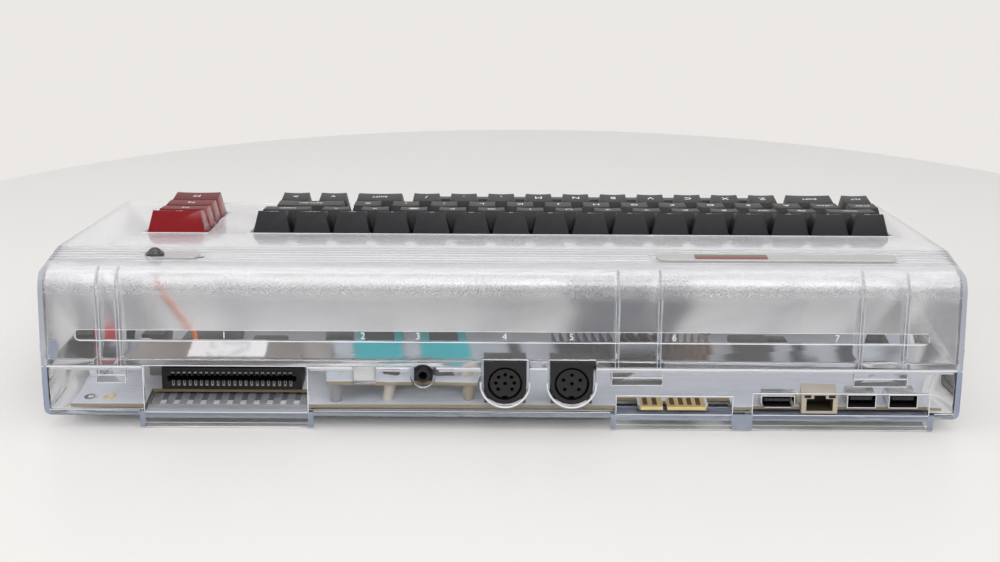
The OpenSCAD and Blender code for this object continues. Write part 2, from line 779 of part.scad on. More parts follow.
module power_inlet() {
  color("#1d1e20") translate([half_w - 0.6, inlet_y, din_z]) rotate([0, 0, -90]) din_socket(7, 16);
}

// A metal socket shell that faces +Y, open at the rear, with a contact tongue inside.
module metal_socket(w, h, deep, t, tongue_h, tongue_z) {
  difference() {
    box([-w / 2, -deep, 0], [w / 2, 0, h]);
    box([-w / 2 + t, -deep + 2, t], [w / 2 - t, 1, h - t]);
  }
  box([-w / 2 + 1.6, -deep + 1, tongue_z], [w / 2 - 1.6, -1.5, tongue_z + tongue_h]);
}

socket_face = half_d - 1.2;

module digital_video_socket() {
  w = 15.2;
  h = 5.9;
  color("#b9bcc0") translate([video_out_x, socket_face, board_top]) difference() {
    metal_socket(w, h, 11.5, 0.5, 1.5, 2.6);
    for (s = [-1, 1]) translate([s * w / 2, 0, 0]) rotate([0, 45, 0])
      cube([2.6, 40, 2.6], center = true);
  }
}

// A low network socket that hangs in a notch of the board, with a wire tray and two lamp windows.
module network_socket() {
  h = 9.3;
  color("#d9d4c8") translate([net_x, socket_face, floor_z + run_fit]) difference() {
    union() {
      box([-net_w / 2, -net_deep + 3, 0], [net_w / 2, 0, h]);
      box([-net_w / 2 - 1.5, -net_deep + 4, board_top - floor_z - run_fit], [net_w / 2 + 1.5, -5, h - 3]);
    }
    box([-5.9, -12, 1.2], [5.9, 1, 7]);
    box([-2.6, -12, 6.9], [2.6, 1, 8.6]);
    for (s = [-1, 1]) box([s * 5.4 - 1.5, -1.5, 7.3], [s * 5.4 + 1.5, 1, 8.7]);
  }
}

module host_sockets() {
  color("#c3c6ca") for (x = hosts) translate([x, socket_face, board_top])
    metal_socket(host_w, 6.6, 14, 0.5, 1.9, 3.4);
}

// A nine pin plug socket that faces +X.
module control_socket() {
  d_w = 17;
  d_h = 8.4;
  difference() {
    union() {
      box([-12, -control_l / 2 + 4, 0], [-1.4, control_l / 2 - 4, control_h]);
      box([-2.2, -control_l / 2, 0], [-1.4, control_l / 2, control_h]);
      box([-1.4 - seat, -d_w / 2, control_h / 2 - d_h / 2], [2.6, d_w / 2, control_h / 2 + d_h / 2]);
    }
    box([-3, -d_w / 2 + 0.6, control_h / 2 - d_h / 2 + 0.6], [3, d_w / 2 - 0.6, control_h / 2 + d_h / 2 - 0.6]);
  }
  for (i = [-2:2]) pin([-3.2, i * 2.77, control_h / 2 + 1.42]);
  for (i = [-1.5:1.5]) pin([-3.2, i * 2.77, control_h / 2 - 1.42]);
}

module pin(at) {
  translate(at) rotate([0, 90, 0]) cylinder(h = 5, d = 1.1);
}

module control_sockets() {
  color("#b4b7bb") for (y = controls) translate([half_w - 3.2, y, control_z - 0.3]) control_socket();
}

rocker_l = 17;
rocker_h = 9;
rocker_out = 2.2;
pin_d = 2;                                   // pivot pins of the rocker
pin_l = 1.2;
rocker_rest = 9;                             // tilt of the rocker at rest, in degrees
pivot_x = half_w - 7;
switch_mid = switch_z + switch_hgt / 2;
switch_deep = 19;                            // from the outside of the case to the inner end of the switch

module switch_body() {
  color("#1c1d20") difference() {
    union() {
      box([half_w - switch_deep, switch_y - switch_l / 2 + 1, board_top],
          [half_w - 4, switch_y + switch_l / 2 - 1, switch_z + 1]);
      box([half_w - switch_deep, switch_y - switch_l / 2, switch_z],
          [half_w - 0.6, switch_y + switch_l / 2, switch_z + switch_hgt]);
    }
    box([pivot_x - 5.5, switch_y - rocker_l / 2 - 0.9, switch_mid - rocker_h / 2 - 0.35],
        [half_w + 2, switch_y + rocker_l / 2 + 0.9, switch_mid + rocker_h / 2 + 0.35]);
    post(pivot_x, switch_y, switch_mid - rocker_h / 2 - pin_l - 0.4,
         switch_mid + rocker_h / 2 + pin_l + 0.4, pin_d + run_fit / 2);
  }
}

module switch_rocker() {
  color("#e7e7e4") translate([pivot_x, switch_y, switch_mid]) rotate([0, 0, rocker_rest]) {
    linear_extrude(rocker_h, center = true)
      polygon([[-4, -3], [3.6, -rocker_l / 2 + 0.2], [rocker_out + 3.2, -rocker_l / 2 + 0.4],
        [rocker_out + 1.8, 0], [rocker_out + 3.2, rocker_l / 2 - 0.4], [3.6, rocker_l / 2 - 0.2], [-4, 3]]);
    cylinder(h = rocker_h + 2 * pin_l, d = pin_d, center = true);
  }
}

sound_x = [57.2, 25.6];
sound_in = 59;                               // distance of the sound chips from the rear of the case
sound_back = half_d - sound_in;
sound_w = 22.7;
sound_l = 39;
sound_h = 10;
dip_w = 14;
dip_l = 36;
dip_h = 4.4;

// Two sound chips, each on an adapter board.
module sound_chips() {
  for (x = sound_x) {
    color("#1fa8a0") box([x - sound_w / 2, sound_back - sound_l, board_top],
      [x + sound_w / 2, sound_back, board_top + sound_h]);
    color("#1b1c1f") box([x - dip_w / 2, sound_back - 1.5 - dip_l, board_top + sound_h - seat],
      [x + dip_w / 2, sound_back - 1.5, board_top + sound_h + dip_h]);
  }
}

module power_lamp() {
  color("#2a2b2e") {
    post(lamp_x, lamp_y, lamp_low, deck_z + seat, lamp_d - 1.6);
    post(lamp_x, lamp_y, deck_z, deck_z + 1.6, lamp_d);
    translate([lamp_x, lamp_y, deck_z + 1.6 - seat]) intersection() {
      translate([0, 0, -1.2]) sphere(d = lamp_d - 1.2);
      cylinder(h = 4, d = lamp_d);
    }
  }
}

module badge_plates() {
  color("#9b9ea3") intersection() {
    union() {
      badge_pad(badge_x, badge_l, 0);
      difference() {
        badge_pad(small_badge_x, small_badge_l, 0);
        post(lamp_x, lamp_y, 0, far, lamp_d + 2 * run_fit);
      }
    }
    box([-far, -far, deck_z], [far, far, deck_z + 0.8]);
  }
}

module feet() {
  color("#33353a") for (f = foot_at)
    post(f[0], f[1], 0, floor_gap - foot_boss + foot_recess, foot_d - 2 * run_fit);
}

// A pan head screw that points up, head under the origin.
module screw(l, head) {
  translate([0, 0, -2]) cylinder(h = 2, d = head);
  translate([0, 0, -seat]) cylinder(h = l, d = screw_d - 0.1);
}

module screws() {
  color("#8d9095") {
    for (x = case_screws) translate([x, case_screw_y, case_post_z - 5]) screw(14, 6);
    for (s = board_screws) translate([s[0], s[1], board_top]) mirror([0, 0, 1]) screw(board_t + 3, 6);
    on_slope() for (p = plate_posts) translate([p[0], p[1], -plate_depth - plate_t]) screw(5.5, 6);
  }
}

// ---------- leads ----------
lead_r = 1.1;
lead_sides = 8;
lamp_y = half_d - badge_back;
lamp_low = deck_z - wall - 5;                // lower end of the lamp body
lead_y = shield[3] + lead_r + 0.2;
lead_route = [[lamp_x, lamp_y, lamp_low], [lamp_x, lamp_y, lamp_low - 3.5],
  [lamp_x - 2.5, lamp_y - 2.8, lamp_low - 10.5], [lamp_x - 8.5, (lamp_y + lead_y) / 2 - 1.5, lamp_low - 20.5],
  [lamp_x - 13.5, lead_y + 0.7, board_top + 24], [lamp_x - 14.5, lead_y, board_top + 17],
  [lamp_x - 14.5, lead_y, board_top]];

function ring(p, dir, r, sides) =
  let (side = unit(cross(dir, [0, 1, 0.01])), up = cross(side, dir))
  [for (i = [0:sides - 1]) p + r * (cos(i * 360 / sides) * side + sin(i * 360 / sides) * up)];

module tube(route, r) {
  n = len(route);
  rings = [for (i = [0:n - 1])
    ring(route[i], unit(route[min(i + 1, n - 1)] - route[max(i - 1, 0)]), r, lead_sides)];
  k = lead_sides;
  polyhedron(
    points = [for (g = rings) each g],
    faces = concat(
      [[for (i = [k - 1:-1:0]) i]],
      [for (j = [0:n - 2]) for (i = [0:k - 1])
        [j * k + i, j * k + (i + 1) % k, (j + 1) * k + (i + 1) % k, (j + 1) * k + i]],
      [[for (i = [0:k - 1]) (n - 1) * k + i]]
    )
  );
}

ribbon_w = 40;
ribbon_x = -60;
ribbon_t = 1;
ribbon_y = [board_front + 7.6, board_front + 23.6];   // lower and upper end
ribbon_steps = 10;
// Height of the underside of the keyboard board.
function keyboard_low(y) =
  deck_z + (y - bend_y) * tan(slope) - (plate_depth + switch_h + board_t) / cos(slope);

// The flat ribbon that bends from the keyboard board down to the main board.
module ribbon() {
  top = keyboard_low(ribbon_y[1]);
  path = [for (i = [0:ribbon_steps])
    [ribbon_y[0] + (ribbon_y[1] - ribbon_y[0]) * (1 - cos(180 * i / ribbon_steps)) / 2,
     board_top + (top - board_top) * i / ribbon_steps]];
  translate([ribbon_x, 0, 0]) along_x(ribbon_w)
    polygon(concat(path, [for (i = [ribbon_steps:-1:0]) path[i] + [ribbon_t, 0]]));
}

module inner_leads() {
  color("#e06a1c") tube(lead_route, lead_r);
  color("#8f9299") ribbon();
}

// ---------- output ----------
lower_shell();
upper_shell();
main_board();
board_parts();
shield_box();
cartridge_socket();
av_board();
audio_jack();
video_socket();
serial_socket();
digital_video_socket();
network_socket();
host_sockets();
control_sockets();
power_inlet();
switch_body();
switch_rocker();
key_plate();
keyboard_board();
key_switches();
sound_chips();
power_lamp();
inner_leads();
badge_plates();
feet();
screws();
for (k = single_keys)
  color("#25262a") place_key(k[1], k[2], k[3]) {
      if (k[0] == "space_bar") space_cap();
      else key_cap(k[3]);
    }
letter_row(letters[0]);  // letters_upper
letter_row(letters[1]);  // letters_middle
letter_row(letters[2]);  // letters_lower
for (i = [0:3])
  function_key(i);
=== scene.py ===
import json
import math

import bpy
from mathutils import Matrix, Vector

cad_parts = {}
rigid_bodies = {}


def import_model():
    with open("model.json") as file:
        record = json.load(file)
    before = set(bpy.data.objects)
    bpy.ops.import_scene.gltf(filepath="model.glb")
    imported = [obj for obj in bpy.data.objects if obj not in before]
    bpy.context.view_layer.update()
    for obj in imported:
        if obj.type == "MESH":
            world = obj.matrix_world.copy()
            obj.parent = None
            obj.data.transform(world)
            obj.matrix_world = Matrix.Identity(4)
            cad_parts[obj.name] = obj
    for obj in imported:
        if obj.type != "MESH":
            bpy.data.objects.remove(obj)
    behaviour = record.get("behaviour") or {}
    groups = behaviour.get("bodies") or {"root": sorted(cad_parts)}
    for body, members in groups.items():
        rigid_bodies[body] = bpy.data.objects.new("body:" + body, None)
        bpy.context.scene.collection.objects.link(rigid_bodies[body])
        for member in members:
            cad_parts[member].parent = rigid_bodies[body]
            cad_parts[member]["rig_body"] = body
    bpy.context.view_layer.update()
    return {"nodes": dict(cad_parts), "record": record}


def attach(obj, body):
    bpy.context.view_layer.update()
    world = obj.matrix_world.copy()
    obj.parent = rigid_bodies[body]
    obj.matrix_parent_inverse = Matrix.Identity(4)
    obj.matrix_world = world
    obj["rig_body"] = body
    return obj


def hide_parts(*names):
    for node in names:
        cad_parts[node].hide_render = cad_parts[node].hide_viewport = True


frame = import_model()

MM = 0.001

# Sizes that the trim shares with the solids.
SEAM_Z = 29.5 * MM
DECK_Z = 72.5 * MM
REAR_Y = 108 * MM
STRIP_MID_Z = 43.6 * MM
STRIP_HEIGHT = 4.8 * MM
STRIP_HALF_LENGTH = 188 * MM
WALL_INSIDE_X = 201.1 * MM
FLOOR_LOW_Z = 5.0 * MM
FLOOR_TOP_Z = 8.0 * MM
TRAY_TOP_Z = 7.7 * MM
BOARD_TOP_Z = 10.8 * MM
AV_BOARD_LOW_Z = 20.0 * MM
AV_BOARD_TOP_Z = 21.6 * MM
# The sound modules are teal below this height and black above it.
MODULE_TEAL_TOP_Z = 20.9 * MM
# The rear wall leans in by 2 mm between the seam and the deck.
REAR_LEAN = math.atan(2 * MM / (DECK_Z - SEAM_Z))
SLOPE_Y = 66 * MM
DECK_SLOPE = math.radians(8.6)
# The sloping deck that carries the keys, with X and Y along it from its rear edge.
ON_SLOPE = Matrix.Translation((0, SLOPE_Y, DECK_Z)) @ Matrix.Rotation(DECK_SLOPE, 4, "X")
# The height of the rims of the caps above the slope, and the depth of their hollow tops.
CAP_TOP = 10.5 * MM
CAP_DISH = 0.9 * MM
# What lies within this depth under the rim of a cap belongs to its hollow top.
CAP_RIM = 1.0 * MM
# How much of the dish of the solids is left in the tops of the caps.
DISH_LEFT = 0.4
# The tops of the caps are reshaped from this height on.
CAP_SHOULDER = 4 * MM

# The values from here to the shader maths are millimetres.
# The keys: from one to the next, and the left and rear ends of their rows on the slope.
KEY_PITCH = 19.05
KEYS_LEFT = -185
KEYS_BACK = 43.5
FUNCTION_KEYS_LEFT = 141.6
# The ends of the two openings for keys.
KEY_OPENINGS = [(-186, 121.4), (140.4, 171.6)]
# Rear openings of the lower shell: left end, right end and top.
OPENINGS = [(86.3, 158.7, 29.5), (-102.4, -51, 16.4), (-189.8, -111.6, 17.8)]
# The solid ends of the trays beside those openings.
TRAY_CHEEKS = [(83, 86.3), (158.7, 162), (-193, -189.8), (-111.6, -102.4), (-51, -48)]
# The trays under them.
TRAYS = [(84.2, 160.8), (-192, -48.8)]
# The middle of each latch tongue, and how far apart its two ribs are.
LATCHES = [(173.4, 8.8), (-60, 18.5), (-167.9, 19.7)]
# The cartridge socket, its contacts and the slots of the tray behind it.
SOCKET_X = 122.5
SOCKET_BACK = 87.6
CONTACT_PITCH = 2.54
CONTACTS_X = [SOCKET_X + (i - 10.5) * CONTACT_PITCH for i in range(22)]
SLOTS_X = [SOCKET_X + i * 6 for i in range(-5, 6)]
# The two groups of tape contacts, the middle of each contact, and the cuts beside the groups: left end,
# right end, and how far forward each cut goes.
TAPE_GROUPS = [(-90.9, -73.7), (-71.8, -61.9)]
TAPE_CONTACTS = [-87.8, -83.9, -80.1, -76.1, -68.3, -64.1]
TAPE_CUTS = [(-102.4, -92.2, 95), (-60.6, -51, 95), (-73.4, -72.1, 99)]
NETWORK_X = -141.4
HOST_X = [-160, -178.5]
VIDEO_X = -1.4
SERIAL_X = -31
# The height of the middle of the two round sockets, and of the upper ends of their collars.
PORT_Z = 21.4
COLLAR_TOP_Z = 22.5
# The middles of the two teal boards, and their underside.
CARRIERS_X = [57.2, 25.6]
CARRIER_Z = 24.0
# The metal cover over the cartridge socket.
COVER_TOP_Z = 31
# Where the numbers of the sockets stand.
NUMBERS_X = [122.4, 61.3, 37.1, -1.1, -30.5, -75.8, -147.4]
# The grooves across the deck. The long plate, and the lamp with the short plate, break three of them.
GROOVE_PITCH = 3.75
FIRST_GROOVE_Y = 69.7
GROOVES_END_X = 200
LONG_PLATE = (-179.5, -65.5)
LAMP_AND_PLATE = (119.5, 162.5)


# ---------- shader maths ----------
class Value:
    """A socket of a material's node tree that can be worked with as a number."""

    def __init__(self, finish, socket):
        self.finish = finish
        self.socket = socket

    def _maths(self, operation, a, b):
        return self.finish.add("ShaderNodeMath", {"operation": operation}, {0: a, 1: b})

    def __add__(self, other):
        return self._maths("ADD", self, other)

    __radd__ = __add__

    def __sub__(self, other):
        return self._maths("SUBTRACT", self, other)

    def __rsub__(self, other):
        return self._maths("SUBTRACT", other, self)

    def __mul__(self, other):
        return self._maths("MULTIPLY", self, other)

    __rmul__ = __mul__

    def __gt__(self, other):
        return self._maths("GREATER_THAN", self, other)

    def __lt__(self, other):
        return self._maths("LESS_THAN", self, other)


class Finish:
    """A material that is put together node by node."""

    def __init__(self, name, kind=bpy.data.materials):
        self.material = kind.new(name)
        self.material.use_nodes = True
        self.tree = self.material.node_tree
        self.tree.nodes.clear()

    def node(self, kind, settings=None, inputs=None):
        node = self.tree.nodes.new(kind)
        for key, setting in (settings or {}).items():
            setattr(node, key, setting)
        for key, value in (inputs or {}).items():
            if isinstance(value, Value):
                self.tree.links.new(value.socket, node.inputs[key])
            elif value is not None:
                node.inputs[key].default_value = value
        return node

    def add(self, kind, settings=None, inputs=None, output=0):
        node = self.node(kind, settings, inputs)
        return Value(self, node.outputs[output])

    def place(self):
        """The place on the computer, in metres from its origin."""
        return self.add("ShaderNodeTexCoord", output="Object")

    def axes(self):
        split = self.node("ShaderNodeSeparateXYZ", inputs={0: self.place()})
        return [Value(self, split.outputs[i]) for i in range(3)]

    def facing(self):
        """X, Y and Z of the surface normal."""
        normal = self.add("ShaderNodeNewGeometry", output="Normal")
        split = self.node("ShaderNodeSeparateXYZ", inputs={0: normal})
        return [Value(self, split.outputs[i]) for i in range(3)]

    def noise(self, size, detail=2.0, stretch=(1, 1, 1)):
        """Noise whose cells are about size metres across."""
        vector = self.add("ShaderNodeMapping", inputs={0: self.place(), 3: stretch})
        return self.add("ShaderNodeTexNoise", inputs={"Vector": vector, "Scale": 1 / size, "Detail": detail})

    def between(self, value, low, high):
        """value 0..1 spread over low..high."""
        return self.add("ShaderNodeMapRange", inputs={0: value, 3: low, 4: high})

    def smooth(self, value, start, end):
        """0 before start, 1 after end."""
        return self.add("ShaderNodeMapRange", {"interpolation_type": "SMOOTHSTEP"},
                        {0: value, 1: start, 2: end})

    def inside(self, value, low, high):
        """1 between low and high, 0 elsewhere."""
        return (value > low) * (value < high)

    def window(self, x0, x1, z0, z1):
        """1 within an upright rectangle that is given in millimetres."""
        x, _, z = self.axes()
        return self.inside(x, x0 * MM, x1 * MM) * self.inside(z, z0 * MM, z1 * MM)

    def any_of(self, masks):
        """The masks added up. A blend takes more than 1 as 1."""
        return sum(masks[1:], masks[0])

    def bands(self, scale):
        """Bright and dark bands side by side along X."""
        return self.add("ShaderNodeTexWave", {"bands_direction": "X"},
                        {"Vector": self.place(), "Scale": scale}, output="Fac")

    def blend(self, mask, color_a, color_b):
        mixed = self.node("ShaderNodeMix", {"data_type": "RGBA"}, {0: mask})
        for key, color in ((6, color_a), (7, color_b)):
            if isinstance(color, Value):
                self.tree.links.new(color.socket, mixed.inputs[key])
            else:
                mixed.inputs[key].default_value = (*color, 1)
        return Value(self, mixed.outputs[2])

    def bump(self, height, depth):
        """A normal for a height of 0..1 that stands for depth metres."""
        return self.add("ShaderNodeBump", inputs={"Height": height, "Distance": depth, "Strength": 1.0})

    def mixed(self, share, shader_a, shader_b):
        return self.add("ShaderNodeMixShader", inputs={0: share, 1: shader_a, 2: shader_b})

    def surface(self, shader):
        self.node("ShaderNodeOutputMaterial", inputs={"Surface": shader})
        return self.material

    def principled(self, **inputs):
        """Inputs are named as on the shader, with _ for a space."""
        named = {key.replace("_", " "): value for key, value in inputs.items()}
        color = named.get("Base Color")
        if isinstance(color, tuple):
            named["Base Color"] = (*color, 1)
        return self.add("ShaderNodeBsdfPrincipled", inputs=named)


# ---------- finishes ----------
def clear_plastic(name, frost, milk_wall, milk_deck, clear_below, lamp_tint):
    """Clear moulded plastic with a frosted face.

    frost is the roughness of its grain. The milk values are the share of light that the grain scatters back:
    milk_wall on upright faces, milk_deck on faces that look up, which are also lighter in colour; that
    difference is painted light from above. Below clear_below the plastic is polished.
    lamp_tint is what each face lets through of the light of the lamps.
    """
    f = Finish(name)
    x, y, z = f.axes()
    nx, ny, nz = f.facing()
    grain = f.noise(0.5 * MM, 2.0)
    speckle = f.smooth(f.noise(0.45 * MM, 1.0), 0.36, 0.66)
    strip_low = STRIP_MID_Z - STRIP_HEIGHT / 2
    strip = (f.inside(z, strip_low, STRIP_MID_Z + STRIP_HEIGHT / 2)
             * f.inside(x, -STRIP_HALF_LENGTH, STRIP_HALF_LENGTH) * (y > REAR_Y - 6 * MM))
    grained = (1 - strip) * (z > clear_below)
    upper = z > SEAM_Z
    right = x > 0.0
    looks_up = f.smooth(nz, 0.12, 0.8)
    low_band = f.inside(z, SEAM_Z, strip_low) * (ny > 0.5)
    # A painted highlight: a band of extra scattered light along the rounding at the top of the rear wall.
    painted_bend_highlight = f.smooth(z, 58 * MM, 64 * MM) * (1 - f.smooth(z, 66 * MM, 70 * MM)) * (ny > 0.5)
    wall_end = ((x * x) > WALL_INSIDE_X * WALL_INSIDE_X) * (ny > 0.25)
    floor_edge = f.inside(z, FLOOR_LOW_Z, FLOOR_TOP_Z + 0.1 * MM) * (ny > 0.25)
    tray = (f.inside(z, TRAY_TOP_Z - 0.3 * MM, TRAY_TOP_Z + 0.15 * MM) * (nz > 0.5)
            * (y > REAR_Y - 40 * MM))
    slots = (f.inside(z, TRAY_TOP_Z - 2.5 * MM, TRAY_TOP_Z - 0.05 * MM) * f.inside(y, 80 * MM, 97 * MM)
             * (x > 86 * MM) * ((nx * nx) > 0.5))
    cheek = (f.any_of([f.inside(x, x0 * MM, x1 * MM) for x0, x1 in TRAY_CHEEKS])
             * (z < TRAY_TOP_Z) * (y > REAR_Y - 1.5 * MM))
    # Painted light from above: faces that look up scatter more light back and are lighter in colour than
    # upright faces.
    milk = milk_wall + (milk_deck - milk_wall) * looks_up
    milk = milk * (0.05 + grained * 0.95) * (0.78 + speckle * 0.4)
    wall_body = f.blend(speckle, (0.50, 0.49, 0.51), (0.93, 0.93, 0.94))
    body = f.blend(looks_up, wall_body, f.blend(speckle, (0.84, 0.84, 0.86), (0.97, 0.97, 0.98)))
    # Painted shade: the floor edge, the trays, the walls of the slots and the ends of the trays get blue-grey
    # and dark colours for how they look through the clear plastic, and the left tray under the low openings
    # is darker than the right.
    # Where, share of light scattered back, colour.
    for place, share, color in (
            (floor_edge, 0.42, (0.40, 0.46, 0.56)),
            (tray, 0.62 + right * 0.2, f.blend(right, (0.17, 0.20, 0.27), (0.46, 0.48, 0.51))),
            (slots, 0.8, (0.20, 0.23, 0.29)),
            (cheek, 0.7, (0.36, 0.41, 0.51))):
        milk = milk * (1 - place) + place * share
        body = f.blend(place, body, color)
    milk = milk * (1 - low_band * 0.6) + painted_bend_highlight * speckle * 0.26
    # Painted shade: the walls, where they are seen edge-on at their ends, are given a dark blue-grey, darker
    # below the seam.
    milk = milk * (1 - wall_end) + wall_end * (0.84 - upper * 0.3)
    body = f.blend(wall_end, body, f.blend(upper, (0.34, 0.39, 0.51), (0.58, 0.62, 0.71)))
    normal = f.bump(grain * grained * (1 - looks_up * 0.8), 0.02 * MM)
    rough = (f.between(grain, frost * 0.8, frost * 1.2) * (1 - looks_up * 0.35) - 0.03) * grained + 0.03
    rough = rough * (1 - low_band * 0.38)
    plastic = f.principled(Base_Color=(0.965, 0.97, 0.985), Roughness=rough, IOR=1.5,
                           Transmission_Weight=1.0, Specular_IOR_Level=0.3, Normal=normal)
    scatter = f.principled(Base_Color=body, Roughness=0.34, Normal=normal)
    clear = f.mixed(milk, plastic, scatter)
    return f.surface(let_lamps_through(f, clear, lamp_tint))


def polished_edge(name, color):
    """A line along a moulded edge in one colour. The pale ones are painted highlights where light leaves the
    edge.
    """
    f = Finish(name)
    wave = f.noise(14 * MM, 2.0)
    shade = f.blend(wave, tuple(c * 0.9 for c in color), color)
    return f.surface(f.principled(Base_Color=shade, Roughness=f.between(wave, 0.10, 0.22), IOR=1.5,
                                  Normal=f.bump(wave, 0.02 * MM)))


def let_lamps_through(f, plastic, tint):
    """Lamps shine through the plastic, so that what is inside is lit."""
    shadow = f.add("ShaderNodeLightPath", output="Is Shadow Ray")
    open_way = f.add("ShaderNodeBsdfTransparent", inputs={0: (*tint, 1)})
    return f.mixed(shadow, plastic, open_way)


def opaque_plastic(name, color, rough, grain_size=0.5 * MM, grain_depth=0.02 * MM, gloss=0.5):
    f = Finish(name)
    patch = f.noise(9 * MM, 4.0)
    fine = f.noise(grain_size, 2.0)
    shade = f.blend(patch, tuple(c * 0.86 for c in color), tuple(min(1.0, c * 1.14) for c in color))
    return f.surface(f.principled(Base_Color=shade, Roughness=f.between(patch, rough - 0.06, rough + 0.06),
                                  Normal=f.bump(fine, grain_depth), Specular_IOR_Level=gloss))


def metal(name, color, rough, brushed=(1, 1, 1)):
    f = Finish(name)
    streaks = f.noise(0.8 * MM, 3.0, brushed)
    patch = f.noise(12 * MM, 3.0)
    shade = f.blend(patch, tuple(c * 0.85 for c in color), color)
    return f.surface(f.principled(Base_Color=shade, Metallic=1.0,
                                  Roughness=f.between(streaks, rough - 0.07, rough + 0.07),
                                  Normal=f.bump(streaks, 0.006 * MM)))


def circuit_board(f):
    """Colour, roughness and normal of a board, with tracks and pads on its faces and bare laminate edges."""
    mask_color = (0.56, 0.585, 0.62)
    edge_color = (0.33, 0.25, 0.13)
    nz = f.facing()[2]
    flat = (nz * nz) > 0.5
    tracks = f.add("ShaderNodeTexBrick", {"offset": 0.37, "squash": 1.4},
                   {"Vector": f.place(), "Scale": 1.0, "Mortar Size": 0.35 * MM, "Mortar Smooth": 0.2,
                    "Brick Width": 13 * MM, "Row Height": 2.9 * MM}, output="Fac")
    patch = f.noise(16 * MM, 2.0)
    mask = f.blend(tracks * 0.35, mask_color, tuple(c * 0.78 for c in mask_color))
    mask = f.blend(patch * 0.3, mask, (0.44, 0.49, 0.57))
    cells = f.add("ShaderNodeTexVoronoi", {"feature": "F1"}, {"Vector": f.place(), "Scale": 130.0,
                                                              "Randomness": 0.55})
    pads = (cells < 0.085) * (patch > 0.52)
    face = f.blend(pads, mask, (0.60, 0.43, 0.19))
    weave = f.noise(0.6 * MM, 2.0, (1, 1, 4))
    edge = f.blend(weave, tuple(c * 0.6 for c in edge_color), edge_color)
    return f.blend(flat, edge, face), f.between(patch, 0.28, 0.42), f.bump(tracks, 0.05 * MM)


def bare_board(name):
    """A board without the colours of parts on it."""
    f = Finish(name)
    color, rough, normal = circuit_board(f)
    return f.surface(f.principled(Base_Color=color, Roughness=rough, Normal=normal))


def fitted_board(name):
    """The small board over the main one, with the colours of the parts that stand on it."""
    f = Finish(name)
    color, rough, normal = circuit_board(f)
    x, y, z = f.axes()
    part = z > AV_BOARD_TOP_Z + 0.05 * MM
    pale_block = f.inside(x, 56 * MM, 67 * MM) * (y > 90 * MM)
    part_color = f.blend(pale_block, (0.028, 0.028, 0.03), (0.74, 0.74, 0.73))
    part_color = f.blend(x < 19.5 * MM, part_color, (0.62, 0.53, 0.44))
    color = f.blend(part, color, part_color)
    post_color = f.blend(x > 60 * MM, (0.60, 0.54, 0.45), (0.26, 0.26, 0.28))
    post_color = f.blend(x < 30 * MM, post_color, (0.36, 0.30, 0.22))
    color = f.blend(z < AV_BOARD_LOW_Z - 0.05 * MM, color, post_color)
    return f.surface(f.principled(Base_Color=color, Roughness=rough, Normal=normal))


def mounted_parts(name):
    """Chips, capacitors and the heat sink: dark, with a red and a pale block at one side and pale tops."""
    f = Finish(name)
    x, y, z = f.axes()
    nz = f.facing()[2]
    patch = f.noise(5 * MM, 3.0)
    color = f.blend(patch, (0.026, 0.026, 0.028), (0.052, 0.05, 0.05))
    color = f.blend((x > 182 * MM) * (z < 23 * MM), color, (0.66, 0.66, 0.67))
    color = f.blend((x > 176 * MM) * (z > 26 * MM), color, (0.46, 0.025, 0.03))
    sink = f.inside(x, -98 * MM, -27 * MM) * f.inside(y, 26 * MM, 63 * MM)
    color = f.blend(sink * f.smooth(x, -60 * MM, -98 * MM) * 0.6, color, (0.34, 0.20, 0.13))
    color = f.blend((nz > 0.9) * (z > 24 * MM) * (x < 176 * MM), color, (0.55, 0.55, 0.56))
    return f.surface(f.principled(Base_Color=color, Roughness=f.between(patch, 0.36, 0.52),
                                  Normal=f.bump(f.noise(0.5 * MM), 0.012 * MM)))


def inner_wires(name):
    """The orange lamp lead at the right and the grey ribbon at the left."""
    f = Finish(name)
    wave = f.noise(6 * MM, 2.0)
    ribbon = f.blend(f.bands(250.0), (0.30, 0.31, 0.34), (0.50, 0.51, 0.54))
    lamp_lead = f.blend(wave, (0.70, 0.13, 0.03), (0.86, 0.21, 0.05))
    color = f.blend(f.axes()[0] > 0.0, ribbon, lamp_lead)
    return f.surface(f.principled(Base_Color=color, Roughness=f.between(wave, 0.34, 0.48)))


def red_cap(name):
    """Tinted see-through plastic of the four keys at the right."""
    f = Finish(name)
    haze = f.noise(4 * MM, 2.0)
    looks_up = f.smooth(f.facing()[2], 0.4, 0.9)
    # Painted shade: the tops of the caps are darker red than their sides.
    color = f.blend(looks_up, (0.31, 0.006, 0.010), (0.16, 0.004, 0.006))
    rough = f.between(haze, 0.14, 0.24) + looks_up * 0.25
    plastic = f.principled(Base_Color=color, Roughness=rough, IOR=1.49, Transmission_Weight=0.35,
                           Specular_IOR_Level=0.16, Normal=f.bump(f.noise(0.5 * MM), 0.01 * MM))
    return f.surface(let_lamps_through(f, plastic, (0.6, 0.08, 0.08)))


def two_tone(name, low_color, high_color, change_z, rough):
    """One colour below a height and another above it."""
    f = Finish(name)
    z = f.axes()[2]
    patch = f.noise(5 * MM, 3.0)
    shade = f.blend(z > change_z, low_color, high_color)
    shade = f.blend(patch * 0.3, shade, (0.05, 0.06, 0.06))
    return f.surface(f.principled(Base_Color=shade, Roughness=f.between(patch, rough - 0.05, rough + 0.08),
                                  Normal=f.bump(f.noise(0.4 * MM), 0.01 * MM)))


def socket_metal(name, hollows):
    """Bright plated shells with painted shade inside their mouths. hollows are the (x0, x1, z0, z1) of the
    mouths.
    """
    f = Finish(name)
    dark = f.any_of([f.window(*hollow) for hollow in hollows]) * (f.axes()[1] < 106.65 * MM)
    streaks = f.noise(0.8 * MM, 2.0, (1, 6, 1))
    color = f.blend(dark, (0.78, 0.79, 0.81), (0.016, 0.016, 0.018))
    return f.surface(f.principled(Base_Color=color, Metallic=1 - dark,
                                  Roughness=f.between(streaks, 0.18, 0.34),
                                  Normal=f.bump(streaks, 0.005 * MM)))


